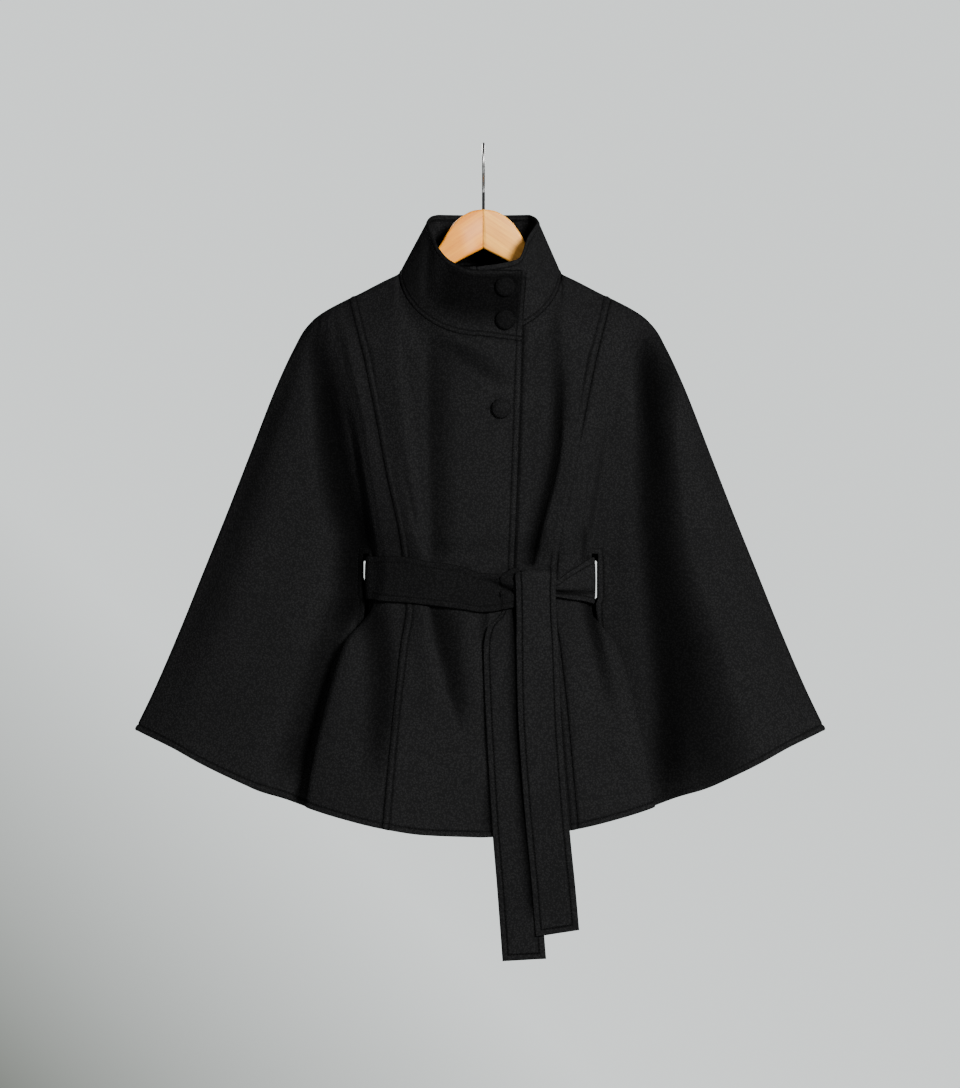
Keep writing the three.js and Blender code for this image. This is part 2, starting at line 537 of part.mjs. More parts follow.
// Collar: a band from the neck seam to its own upper edge.
const collarCurves = Object.fromEntries(['x', 'y', 'z'].map((axis) => [
  axis, curveThrough(collarTop.map((row) => row.round), collarTop.map((row) => row[axis])),
]));
function collarFoot(round) {
  const half = round < 180 ? 'right' : 'left';
  const fromFront = half === 'right' ? round : 360 - round;
  const face = fromFront < 90 ? 'front' : 'back';
  const seam = neckSeam(face, face === 'front' ? 90 - fromFront : fromFront - 90);
  const sign = half === 'right' ? -1 : 1;
  const under = half === 'left' && face === 'front' ? halves.frontLeft.underlapAt(seam.u) : 0;
  const y = cloth.seamGap / 2 + seam.depth - under;
  return new THREE.Vector3(cloth.midX + sign * seam.u, face === 'front' ? -y : y, seam.z);
}
function collarPoint(round, share) {
  const foot = collarFoot(round);
  const top = new THREE.Vector3(collarCurves.x(round), collarCurves.y(round), collarCurves.z(round));
  const rise = new THREE.Vector3().subVectors(top, foot);
  foot.addScaledVector(rise.clone().normalize(), collarSize.lift);
  return foot.lerp(top, share);
}
function frontPieces(half, name) {
  const grid = halfGrid(half);
  const seamColumn = grid.columns.findIndex((column) => column.a === lines.princess.at);
  const slitColumn = grid.columns.findIndex((column) => column.a === lines.slitInner.at);
  const cut = cutAtSeam(grid, seamColumn);
  const centre = wallGeometry(cut.centre.points, cut.centre.normals, cloth.wall);
  const hole = isSlitCell(slitColumn - seamColumn);
  const wing = wallGeometry(cut.wing.points, cut.wing.normals, cloth.wall, hole);
  return [mesh(`front_${name}_centre`, centre, 'wool'), mesh(`front_${name}_wing`, wing, 'wool')];
}

function backPiece() {
  const right = halfGrid(halves.backRight);
  const left = halfGrid(halves.backLeft);
  const join = (a, b) => a.map((line, r) => [...[...line].reverse(), ...b[r].slice(1)]);
  const points = join(right.points, left.points);
  const normals = join(right.normals, left.normals);
  const middle = right.columns.length - 1;
  normals.forEach((line) => line[middle].setX(0).normalize());
  const slitColumn = right.columns.findIndex((column) => column.a === lines.slitInner.at);
  const hole = (r, c) => {
    const fromMiddle = c >= middle ? c - middle : middle - 1 - c;
    return isSlitCell(slitColumn)(r, fromMiddle);
  };
  return mesh('back', wallGeometry(points, normals, cloth.wall, hole), 'wool');
}

function collarPiece() {
  const onSeam = neckDirections.sort((a, b) => a.round - b.round);
  const stops = onSeam.filter((stop, i) => i === 0 || stop.round - onSeam[i - 1].round > 0.5);
  const points = Array.from({ length: collarSize.rows + 1 }, (_, r) => (
    stops.map((stop) => collarPoint(stop.round, 1 - r / collarSize.rows))
  ));
  const normals = bandNormals(points);
  normals[collarSize.rows] = stops.map((stop) => stop.normal.clone());
  return mesh('collar', wallGeometry(points, normals, collarSize.wall), 'wool');
}
// Outward directions of a band whose columns run from its right end round to its left.
function bandNormals(points) {
  const rows = points.length;
  const columns = points[0].length;
  return points.map((line, r) => line.map((_, c) => {
    const along = new THREE.Vector3().subVectors(line[Math.min(c + 1, columns - 1)], line[Math.max(c - 1, 0)]);
    const down = new THREE.Vector3().subVectors(points[Math.min(r + 1, rows - 1)][c], points[Math.max(r - 1, 0)][c]);
    return along.cross(down).normalize();
  }));
}

// The front's outside at x and z, without the step of the lower layer.
function frontY(x, z) {
  const half = x < cloth.midX ? halves.frontRight : halves.frontLeft;
  const u = Math.abs(x - cloth.midX);
  let low = 0;
  let high = lines.foldFront.at;
  for (let i = 0; i < 22; i += 1) {
    const middle = (low + high) / 2;
    if (half.spot(middle, z).u < u) low = middle;
    else high = middle;
  }
  return -(cloth.seamGap / 2 + half.spot(low, z).depth);
}

// Covered buttons, each a dome on a short rim, square to the cloth under it.
function buttonPiece(place) {
  const { radius, rim, dome, seat, sides } = buttonSize;
  const domeArc = [0.25, 0.5, 0.75].map((share) => {
    const angle = (share * Math.PI) / 2;
    return new THREE.Vector2(radius * Math.cos(angle), rim + dome * Math.sin(angle));
  });
  const profile = [
    new THREE.Vector2(0, 0), new THREE.Vector2(radius - 2, 0), new THREE.Vector2(radius, rim * 0.6),
    new THREE.Vector2(radius, rim), ...domeArc, new THREE.Vector2(0, rim + dome),
  ];
  const geometry = new THREE.LatheGeometry(profile, sides);
  const { point, normal } = place.on === 'collar' ? collarSpot(place) : frontSpot(place);
  const toNormal = new THREE.Quaternion().setFromUnitVectors(new THREE.Vector3(0, 1, 0), normal);
  const piece = mesh(place.name, closedFrom(geometry), 'wool');
  piece.quaternion.copy(toNormal);
  piece.position.copy(point).addScaledVector(normal, seat);
  return piece;
}
function squareTo(at, alongX, alongZ) {
  const normal = new THREE.Vector3().crossVectors(alongX.sub(at), alongZ.sub(at)).normalize();
  if (normal.y > 0) normal.negate();
  return { point: at, normal };
}
function frontSpot({ x, z }) {
  const at = (dx, dz) => new THREE.Vector3(x + dx, frontY(x + dx, z + dz), z + dz);
  return squareTo(at(0, 0), at(8, 0), at(0, 8));
}
function collarSpot({ x, z }) {
  let best = { gap: Infinity };
  for (let round = -30; round < 10; round += 0.5) {
    for (let share = 0; share <= 1; share += 0.02) {
      const at = collarPoint(round, share);
      const gap = Math.hypot(at.x - x, at.z - z);
      if (gap < best.gap) best = { gap, round, share };
    }
  }
  const at = collarPoint(best.round, best.share);
  return squareTo(at, collarPoint(best.round + 6, best.share), collarPoint(best.round, best.share + 0.1));
}

// A closed geometry from one of three's, with its shared corners merged.
function closedFrom(geometry) {
  const bare = geometry.index ? geometry.toNonIndexed() : geometry;
  const positions = Array.from(bare.attributes.position.array);
  const index = [];
  const corner = (i) => new THREE.Vector3().fromArray(positions, 3 * i);
  for (let i = 0; i < positions.length / 3; i += 3) {
    const area = corner(i + 1).sub(corner(i)).cross(corner(i + 2).sub(corner(i))).length();
    if (area > 1e-6) index.push(i, i + 1, i + 2);
  }
  return orientedGeometry(positions, index);
}

// Sash: a band laid on the coat's front, through the slits, past the sides and over the back.
function beltRoute() {
  const laid = [lines.slitInner.at - 16, lines.fold.at, lines.foldFront.at, 150, lines.princess.at, 98,
    lines.neckLine.at, 60, 40, 20];
  const onCloth = (half, a) => ({ half, a });
  const side = (front, back) => [
    { corner: front, out: 0.3, inward: -1.6 }, { corner: front, inward: 3 }, { side: front },
    { corner: back, inward: 3 }, { corner: back, out: 0.3, inward: -1.6 },
  ];
  const { frontRight, frontLeft, backRight, backLeft } = halves;
  return [
    onCloth(frontLeft, 33), onCloth(frontLeft, 16), onCloth(frontRight, 0),
    ...[...laid].reverse().map((a) => onCloth(frontRight, a)), ...side(frontRight, backRight),
    ...laid.map((a) => onCloth(backRight, a)), onCloth(backRight, 0),
    ...[...laid].reverse().map((a) => onCloth(backLeft, a)), ...side(backLeft, frontLeft),
    ...laid.slice(0, 5).map((a) => onCloth(frontLeft, a)),
  ];
}
function beltSpot(stop, z) {
  const coat = stop.half ?? stop.corner ?? stop.side;
  const facing = coat.face === 'front' ? -1 : 1;
  if (stop.side) return new THREE.Vector3(cloth.midX + coat.sign * belt.sideReach, 0, z);
  const { u, depth } = coat.spot(stop.half ? stop.a : lines.slitInner.at, z);
  const y = cloth.seamGap / 2 + depth + (stop.half ? belt.seat : -stop.inward);
  const reach = stop.half ? u : belt.sideReach - (stop.out ?? 0);
  return new THREE.Vector3(cloth.midX + coat.sign * reach, facing * y, z);
}
function beltPiece() {
  const route = beltRoute();
  const isFront = (stop) => stop.half?.face === 'front';
  const rightEdge = ['top', 'foot'].map((edge) => curveThrough(beltRight.map((row) => -row.x), beltRight.map((row) => row[edge])));
  const leftEdge = ['top', 'foot'].map((edge) => curveThrough(beltLeft.map((row) => row.x), beltLeft.map((row) => row[edge])));
  const lastFront = route.findLastIndex((stop) => stop.side);
  const middleZ = -525;
  const points = Array.from({ length: belt.rows + 1 }, () => []);
  route.forEach((stop, i) => {
    const x = beltSpot(stop, middleZ).x;
    const left = i > lastFront && isFront(stop);
    const share = ease(route.findIndex((other) => other.side), lastFront, i);
    const edge = (k) => {
      if (left) return leftEdge[k](x);
      if (isFront(stop) && i < lastFront) return rightEdge[k](-x);
      return mix(beltRight[beltRight.length - 1][k ? 'foot' : 'top'], beltLeft[beltLeft.length - 1][k ? 'foot' : 'top'], share);
    };
    for (let r = 0; r <= belt.rows; r += 1) {
      points[r].push(beltSpot(stop, mix(edge(0), edge(1), r / belt.rows)));
    }
  });
  return mesh('belt_loop', wallGeometry(points, bandNormals(points), belt.wall, () => false, belt.wall), 'wool');
}

// The knot under the upper tail: a rounded pad laid on the front.
function knotPiece() {
  const ball = closedFrom(new THREE.SphereGeometry(1, 18, 10));
  const position = ball.attributes.position;
  const boxy = (value) => Math.sign(value) * Math.abs(value) ** 0.7;
  for (let i = 0; i < position.count; i += 1) {
    const x = knot.x + knot.halfWide * boxy(position.getX(i));
    const z = knot.z + knot.halfTall * boxy(position.getZ(i));
    const y = frontY(x, z) - knot.seat - (knot.thick / 2) * (1 - boxy(position.getY(i)));
    position.setXYZ(i, x, y, z);
  }
  return mesh('belt_knot', closedFrom(ball), 'wool');
}

// A tail: a flat ribbon at its table's distance off the cloth.
function tailPiece(name, table, curl) {
  const columns = tails.columns;
  const points = [];
  const curve = Object.fromEntries(['x', 'width', 'off'].map((key) => [key, curveDown(table, key)]));
  const heights = [];
  table.slice(1).forEach((row, i) => heights.push(mix(table[i].z, row.z, 0), mix(table[i].z, row.z, 0.5)));
  heights.push(table[table.length - 1].z);
  const line = (z, off, width) => Array.from({ length: columns + 1 }, (_, c) => {
    const x = curve.x(z) + width * (c / columns - 0.5);
    return new THREE.Vector3(x, frontY(x, Math.max(z, tails.hangsFrom)) - off, z);
  });
  curl.forEach((bend) => points.push(line(bend.z, bend.off, curve.width(bend.z))));
  heights.forEach((z) => points.push(line(z, curve.off(z), curve.width(z))));
  const normals = bandNormals(points).map((row) => row.map((normal) => normal.negate()));
  return mesh(name, wallGeometry(points, normals, tails.wall, () => false, tails.wall), 'wool');
}

// Hanger: two flat boards that meet in a mitre under the hook.
function hangerOutline(sign) {
  const underCloth = (x) => ridgeHeight(Math.abs(x - cloth.midX)) - cloth.wall - hanger.clear - 0.35;
  const start = hanger.mitreX + (sign * hanger.mitreGap) / 2;
  const place = ({ x, z }) => [x === 0 ? start : sign * x, z];
  const inset = 5;
  const onCloth = hangerOnCloth.map((u) => cloth.midX + sign * u).map((x) => [x, underCloth(x)]);
  const endX = sign * hanger.armEnd;
  const endZ = underCloth(endX);
  const tip = [
    [endX - sign * inset, underCloth(endX - sign * inset)], [endX, endZ - inset],
    [endX, endZ - hanger.tipHeight + inset], [endX - sign * inset, endZ - hanger.tipHeight],
  ];
  const onNeck = hangerNeck.map(({ u, z }) => [cloth.midX + sign * u, z]);
  return [...hangerCrown.map(place), ...onNeck, ...onCloth, ...tip, ...hangerUnder.map(place)];
}
function hangerArm(name, sign) {
  const shape = new THREE.Shape(hangerOutline(sign).map(([x, z]) => new THREE.Vector2(x, z)));
  const geometry = new THREE.ExtrudeGeometry(shape, {
    depth: hanger.thick - 2 * hanger.edgeRound,
    bevelThickness: hanger.edgeRound,
    bevelSize: hanger.edgeRound,
    bevelOffset: -hanger.edgeRound,
    bevelSegments: 3,
  });
  geometry.rotateX(Math.PI / 2);
  geometry.translate(0, hanger.thick / 2 - hanger.edgeRound, 0);
  return mesh(name, cutBore(closedFrom(geometry)), 'wood');
}
function solidFrom(geometry) {
  return new wasm.Manifold(new wasm.Mesh({
    numProp: 3, vertProperties: geometry.attributes.position.array, triVerts: new Uint32Array(geometry.index.array),
  }));
}
function cutBore(arm) {
  const bore = new THREE.CylinderGeometry(hook.bore, hook.bore, hook.boreDepth, 12);
  bore.rotateX(Math.PI / 2);
  bore.translate(0, 0, hook.boreFoot + hook.boreDepth / 2);
  const cut = solidFrom(arm).subtract(solidFrom(closedFrom(bore))).getMesh();
  return orientedGeometry(Array.from(cut.vertProperties), Array.from(cut.triVerts));
}

// Hook: steel wire over the top, down the front and into the boards.
function hookPiece() {
  const radius = hook.innerRadius + hook.wire / 2;
  const centreZ = -hook.innerRadius;
  const route = [];
  for (let turn = hook.tipTurn; turn <= hook.lastTurn; turn += hook.stepTurn) {
    const angle = THREE.MathUtils.degToRad(turn);
    route.push(new THREE.Vector3(0, radius * Math.cos(angle), centreZ + radius * Math.sin(angle)));
  }
  route.push(...hookStem.map(({ y, z }) => new THREE.Vector3(0, y, z)));
  const section = new THREE.Shape();
  section.absarc(0, 0, hook.wire / 2, 0, 2 * Math.PI);
  const geometry = new THREE.ExtrudeGeometry(section, {
    extrudePath: new THREE.CatmullRomCurve3(route), steps: hook.steps, curveSegments: hook.sides,
  });
  return mesh('hanger_hook', closedFrom(geometry), 'steel');
}

const coat = new THREE.Group();
coat.add(...frontPieces(halves.frontRight, 'right'), ...frontPieces(halves.frontLeft, 'left'), backPiece());
coat.add(collarPiece(), ...buttonPlaces.map(buttonPiece));
const overCurl = [
  { z: -512.4, off: 2.4 }, { z: -511, off: 5 }, { z: -511, off: 8.2 }, { z: -512.8, off: 10.8 },
];
coat.add(beltPiece(), knotPiece(), tailPiece('belt_tail_over', overTail, overCurl));
coat.add(tailPiece('belt_tail_under', underTail, []));
coat.add(hangerArm('hanger_arm_right', -1), hangerArm('hanger_arm_left', 1), hookPiece());
export default coat;
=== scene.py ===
"""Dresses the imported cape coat: wool panels with folds and topstitching, sash, buttons, hanger and hook.

Sizes are in millimetres until a mesh is made. Right and left are the wearer's: right is the -X side.
"""
import logging
import math
from dataclasses import dataclass
from enum import Enum

import bpy
import numpy as np
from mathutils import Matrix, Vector


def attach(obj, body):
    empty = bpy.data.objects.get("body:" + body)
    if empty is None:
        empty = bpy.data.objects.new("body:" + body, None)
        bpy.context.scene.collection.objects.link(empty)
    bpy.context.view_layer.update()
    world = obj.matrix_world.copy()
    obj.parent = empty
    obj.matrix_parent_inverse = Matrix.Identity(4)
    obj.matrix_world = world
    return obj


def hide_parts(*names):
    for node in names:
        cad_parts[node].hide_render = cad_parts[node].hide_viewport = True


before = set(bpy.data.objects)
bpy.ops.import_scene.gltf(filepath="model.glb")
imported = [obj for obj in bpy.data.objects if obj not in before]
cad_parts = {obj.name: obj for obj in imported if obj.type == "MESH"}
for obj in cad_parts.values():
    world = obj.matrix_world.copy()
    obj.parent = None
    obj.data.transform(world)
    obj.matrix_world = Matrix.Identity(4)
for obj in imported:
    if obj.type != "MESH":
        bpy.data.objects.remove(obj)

log = logging.getLogger("cape_coat")
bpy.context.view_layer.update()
MM = 0.001


class Face(Enum):
    """Front or back of the coat; the value is the sign of Y that faces out."""

    FRONT = -1
    BACK = 1


class Side(Enum):
    """The wearer's right or left; the value is the sign of X."""

    RIGHT = -1
    LEFT = 1


# The coat's tables, in millimetres: heights fall from row to row.
OUTLINE = (
    (-155, 98), (-164, 117), (-179, 146), (-188, 165), (-206, 196), (-224, 213), (-242, 223), (-260, 232),
    (-296, 248), (-368, 276), (-440, 304), (-512, 333), (-584, 362), (-656, 393), (-704, 416), (-860, 490),
)
HEM = (
    (0, -828), (67, -825), (118, -817), (168, -805), (205, -794), (235, -783), (269, -773), (302, -759),
    (336, -743), (370, -725), (403, -710), (416, -704),
)
# The lines that run down each half: their place in the spacing, and where they leave the ridge.
LINES = {
    "centre": (0, None), "quarter": (50, None), "neck_line": (84, 98), "princess": (112, 158),
    "fold_front": (180, 166), "fold": (190, 170), "fold_back": (200, 174), "slit_inner": (222, 177),
    "slit_outer": (232, 181), "wing": (312, 190), "wing_ridge": (400, 198), "seam": (480, 205),
}
# The seams and the slit's lips, as places in that spacing.
PRINCESS, LIP_IN, LIP_OUT, OVERARM = (
    float(LINES[name][0]) for name in ("princess", "slit_inner", "slit_outer", "seam")
)
HEIGHTS = (-260, -330, -400, -465, -494, -525, -556, -600, -682, -760, -840)
# Distance from the middle of each line at those heights.
ACROSS = {
    "neck_line": (104, 95, 84, 70, 65, 62, 60, 66, 72, 78, 84),
    "princess": (139, 125, 112, 98, 94, 91, 89, 95, 104, 111, 118),
    "fold": (160, 144, 133, 122, 117, 116, 126, 163, 187, 203, 213),
    "slit": (180, 164, 151, 141, 137.4, 137.4, 137.4, 142, 157, 172, 184),
    "wing": (196, 192, 190, 192, 195, 200, 206, 216, 240, 262, 280),
    "wing_ridge": (214, 231, 248, 264, 271, 281, 291, 312, 334, 352, 372),
}
# How far the cloth stands out from the overarm seam on each line at those heights.
DEPTH = {
    Face.FRONT: {
        "centre": (65, 68, 72, 71, 63, 61, 62, 72, 84, 95, 105),
        "quarter": (57, 66, 71, 70, 62, 60, 62, 73, 86, 98, 109),
        "neck_line": (44, 59, 67, 68, 60, 58, 60, 73, 87, 100, 112),
        "princess": (36, 52, 61, 63, 54, 52, 55, 71, 87, 102, 115),
        "fold": (31, 46, 53, 52, 45, 43, 43, 57, 70, 80, 90),
        "slit": (25, 34, 35, 33, 31, 30, 30, 36, 44, 51, 58),
        "wing": (22, 35, 40, 42, 42, 42, 43, 45, 49, 53, 58),
        "wing_ridge": (13, 21, 26, 29, 30, 30, 30, 31, 33, 36, 39),
    },
    Face.BACK: {
        "centre": (50, 55, 57, 55, 50, 49, 50, 56, 64, 72, 80),
        "quarter": (48, 54, 56, 54, 49, 48, 49, 57, 66, 75, 84),
        "neck_line": (38, 49, 52, 51, 47, 46, 48, 56, 66, 76, 86),
        "princess": (30, 42, 46, 46, 42, 41, 43, 54, 65, 75, 84),
        "fold": (25, 36, 40, 39, 36, 35, 36, 45, 54, 62, 69),
        "slit": (20, 26, 27, 26, 26, 26, 26, 29, 35, 40, 45),
        "wing": (17, 25, 28, 29, 29, 29, 30, 32, 35, 38, 41),
        "wing_ridge": (10, 15, 18, 20, 20, 20, 20, 21, 23, 25, 27),
    },
}
# The collar's upper edge from its over end round the back to its under end: degrees round, x, y, z.
COLLAR_TOP = (
    (-30, 51, -64, -158), (-24, 42, -65, -154), (0, -5, -66, -154), (30, -39, -57, -143),
    (57, -57, -38, -122), (90, -67, -4, -91), (135, -54, 31, -82), (180, -2, 43, -82),
    (225, 55, 33, -82), (270, 66, -3, -92), (303, 54, -35, -112), (330, 43, -51, -139),
    (360, -3, -59, -149), (367, -16, -59, -150),
)
# The sash's edges across the front: x, top, foot, from the knot to either slit.
SASH_RIGHT = (
    (38, -509.5, -556), (31, -511, -557), (22, -516.5, -559), (0, -516.5, -562), (-26, -508, -558),
    (-69, -501, -553), (-98, -496, -550), (-139, -496, -546),
)
SASH_LEFT = ((86, -524, -544), (104, -512, -548), (120, -502, -551), (132, -497, -552))
# The tails: height, middle, width and distance off the cloth.
OVER_TAIL = (
    (-516, 62.5, 49, 12), (-535, 62.5, 47, 12.5), (-560, 63, 47, 11.5), (-600, 64, 49, 7.5),
    (-680, 66, 50, 6), (-760, 71, 50, 6), (-830, 77, 50, 6), (-880, 82, 50, 6), (-940, 87, 50, 6),
)
OVER_CURL = ((-512.4, 62.5, 49, 2.4), (-511, 62.5, 49, 5), (-511, 62.5, 49, 8.2), (-512.8, 62.5, 49, 10.8))
UNDER_TAIL = (
    (-556, 36, 26, 0.2), (-567, 33, 34, 1.0), (-580, 28, 46, 1.4), (-602, 25, 49, 1.4), (-660, 27, 50, 1.4),
    (-740, 31, 50, 1.4), (-820, 36, 50, 1.8), (-880, 41, 50, 1.8), (-972, 48, 50, 1.8),
)


def mix(low: np.ndarray, high: np.ndarray, share: np.ndarray) -> np.ndarray:
    """The value a share of the way from low to high."""
    return low + (high - low) * share


def ease(start: float, end: float, value: np.ndarray) -> np.ndarray:
    """A smooth step: 0 before start, 1 past end, 3t^2 - 2t^3 between."""
    share = np.clip((value - start) / (end - start), 0.0, 1.0)
    return share * share * (3.0 - 2.0 * share)


def curve(keys: np.ndarray, values: np.ndarray, at: np.ndarray) -> np.ndarray:
    """A cubic through its points that never swings past them.

    Each tangent is the harmonic mean of the slopes beside it, or 0 where they disagree in sign.

    Args:
        keys: rising stations, one dimension.
        values: a value a station, or rows of them, one row a point of `at`.
        at: where to read the curve; past the ends it keeps the end values.

    Returns:
        The values at `at`, in its shape.
    """
    at = np.asarray(at, float)
    keys = np.asarray(keys, float)
    rows = np.broadcast_to(np.asarray(values, float), at.shape + (len(keys),))
    slopes = np.diff(rows, axis=-1) / np.diff(keys)
    before, after = slopes[..., :-1], slopes[..., 1:]
    total = before + after
    inner = np.where(before * after > 0, 2 * before * after / np.where(total == 0, 1, total), 0.0)
    tangents = np.concatenate([slopes[..., :1], inner, slopes[..., -1:]], axis=-1)
    held = np.clip(at, keys[0], keys[-1])
    i = np.clip(np.searchsorted(keys, held, side="right") - 1, 0, len(keys) - 2)
    span = keys[i + 1] - keys[i]
    t = (held - keys[i]) / span

    def take(table: np.ndarray, index: np.ndarray) -> np.ndarray:
        """One entry of each row."""
        return np.take_along_axis(table, index[..., None], axis=-1)[..., 0]

    bend = t * (1 - t) ** 2 * take(tangents, i) - t * t * (1 - t) * take(tangents, i + 1)
    ends = (1 + 2 * t) * (1 - t) ** 2 * take(rows, i) + t * t * (3 - 2 * t) * take(rows, i + 1)
    return ends + span * bend


def curve_down(heights: tuple[float, ...], values: tuple[float, ...], z: np.ndarray) -> np.ndarray:
    """The same curve over heights that fall from row to row."""
    return curve(-np.asarray(heights, float), np.asarray(values, float), -np.asarray(z, float))


def column(table: tuple[tuple[float, ...], ...], place: int) -> np.ndarray:
    """One column of a table of rows."""
    return np.array([row[place] for row in table], float)


def unit(vectors: np.ndarray) -> np.ndarray:
    """Vectors scaled to length 1."""
    return vectors / np.maximum(np.linalg.norm(vectors, axis=-1, keepdims=True), 1e-12)


def run_length(points: np.ndarray) -> np.ndarray:
    """The length run up to each point of a line."""
    return np.concatenate([[0], np.cumsum(np.linalg.norm(np.diff(points, axis=0), axis=1))])


def edged(edge: tuple[float, ...], inset: float, count: int) -> np.ndarray:
    """Shares from 0 to 1: as given from either edge, and even steps from inset to inset between."""
    near = np.array(edge, float)
    return np.concatenate([near, np.linspace(inset, 1 - inset, count), 1 - near[::-1]])


def steps(*stops: float, counts: tuple[int, ...]) -> np.ndarray:
    """Even steps between stops, each stop once: counts[i] steps from stops[i] to stops[i + 1]."""
    parts = [np.linspace(a, b, n, endpoint=False) for a, b, n in zip(stops[:-1], stops[1:], counts)]
    return np.concatenate([*parts, [stops[-1]]])


@dataclass(frozen=True)
class PhotoView:
    """The photograph's scale and the camera that takes the same view."""

    mm_per_pixel: float = 1.2
    hook_px: tuple[float, float] = (483.5, 143.5)
    middle_px: tuple[float, float] = (480.0, 544.0)
    tall_px: float = 1088.0
    distance: float = 6000.0
    sharp_plane: float = -30.0

    def x(self, px: np.ndarray) -> np.ndarray:
        """Millimetres across for a pixel column."""
        return (np.asarray(px, float) - self.hook_px[0]) * self.mm_per_pixel

    def z(self, py: np.ndarray) -> np.ndarray:
        """Height in millimetres for a pixel row."""
        return (self.hook_px[1] - np.asarray(py, float)) * self.mm_per_pixel

    def make_camera(self) -> bpy.types.Object:
        """A level camera straight in front, framed as the photograph is."""
        data = bpy.data.cameras.new("camera")
        data.sensor_width = 36.0
        data.lens = self.distance * data.sensor_width / (self.tall_px * self.mm_per_pixel)
        data.clip_end = 100.0
        camera = bpy.data.objects.new("camera", data)
        bpy.context.scene.collection.objects.link(camera)
        place = (self.x(self.middle_px[0]), self.sharp_plane - self.distance, self.z(self.middle_px[1]))
        camera.location = Vector(place) * MM
        camera.rotation_euler = (math.pi / 2, 0.0, 0.0)
        bpy.context.scene.camera = camera
        return camera


VIEW = PhotoView()
COAT_MIDDLE = -4.0


@dataclass(frozen=True)
class Crease:
    """A soft ridge or trough down the cloth, as seen from the front.

    The run goes down the photograph in pixels. `rise` is how far it stands out, or sinks in where
    negative; `west` and `east` are its widths on either side; the fades are lengths at its ends.
    """

    run: tuple[tuple[float, float], ...]
    rise: float
    west: float
    east: float
    fade_top: float = 60.0
    fade_foot: float = 40.0

    def height(self, x: np.ndarray, z: np.ndarray) -> np.ndarray:
        """A bell curve over the distance from the run, times the smooth fades at its ends."""
        heights = VIEW.z([p[1] for p in self.run])
        places = VIEW.x([p[0] for p in self.run])
        middle = curve(-heights, places, -z)
        lean = (curve(-heights, places, -z + 2) - curve(-heights, places, -z - 2)) / 4
        off = (x - middle) / np.sqrt(1 + lean * lean)
        width = np.where(off < 0, self.west, self.east)
        start = ease(heights[0] + self.fade_top * 0.4, heights[0] - self.fade_top * 0.6, z)
        end = ease(heights[-1] - self.fade_foot * 0.4, heights[-1] + self.fade_foot * 0.6, z)
        return self.rise * np.exp(-((off / width) ** 2)) * start * end


FRONT_CREASES = (
    Crease(((318, 332), (330, 413), (344, 490), (357, 545), (354, 610)), -9.5, 21, 15, 150, 90),
    Crease(((352, 596), (322, 690), (298, 775)), -4.5, 24, 8, 40, 50),
    Crease(((301, 356), (255, 546), (217, 660)), 6.5, 34, 30, 140, 120),
    Crease(((396, 350), (411, 470), (424, 566)), 6.4, 20, 5, 150, 10),
    Crease(((431, 340), (433, 448), (436, 566)), -3.6, 7, 20, 130, 20),
    Crease(((403, 470), (427, 566)), -2.4, 3, 4, 90, 8),
    Crease(((556, 318), (560, 400), (556, 443), (549, 484), (539, 520), (529, 566)), -4.2, 11, 7, 170, 8),
    Crease(((559, 392), (558, 443), (551, 484), (541, 520), (531, 566)), -6.5, 4.5, 2.6, 120, 6),
    Crease(((572, 350), (575, 443), (569, 484), (560, 520), (548, 566)), 4.5, 10, 22, 120, 20),
    Crease(((585, 525), (584, 562)), -3.4, 5, 4, 22, 8),
    Crease(((630, 364), (610, 496), (601, 556)), 2.2, 16, 12, 90, 20),
    Crease(((647, 345), (650, 380), (653, 448), (653, 502), (655, 545), (662, 625), (668, 700), (668, 800)),
           -9.0, 17, 30, 100, 110),
    Crease(((680, 590), (696, 680), (710, 790)), -4.2, 18, 46, 150, 60),
    Crease(((487, 604), (483, 640), (483.5, 700), (487, 830)), -2.6, 6, 3, 10, 20),
    Crease(((515, 600), (519, 700), (525, 830)), -3.0, 6, 9, 10, 20),
    Crease(((648, 345), (651, 400), (656, 470)), -3.0, 5, 9, 60, 60),
    Crease(((690, 398), (744, 600), (780, 720)), 6.5, 30, 38, 140, 110),
    Crease(((445, 340), (478, 366), (503, 384)), -2.6, 10, 12, 24, 26),
    Crease(((350, 630), (331, 742)), 3.4, 16, 14, 50, 80),
    Crease(((372, 596), (382, 680), (376, 770)), -5.0, 16, 16, 14, 110),
    Crease(((423, 596), (428, 640), (436, 700)), 5.0, 16, 5, 12, 120),
    Crease(((431, 598), (444, 650), (466, 740)), -6.0, 7, 24, 10, 130),
    Crease(((480, 640), (470, 800)), 3.0, 26, 24, 90, 70),
    Crease(((587, 596), (597, 640), (613, 720)), -5.5, 9, 6, 12, 120),
    Crease(((571, 604), (577, 740)), 3.0, 10, 12, 20, 120),
    Crease(((604, 640), (630, 790)), 3.4, 14, 18, 90, 80),
)
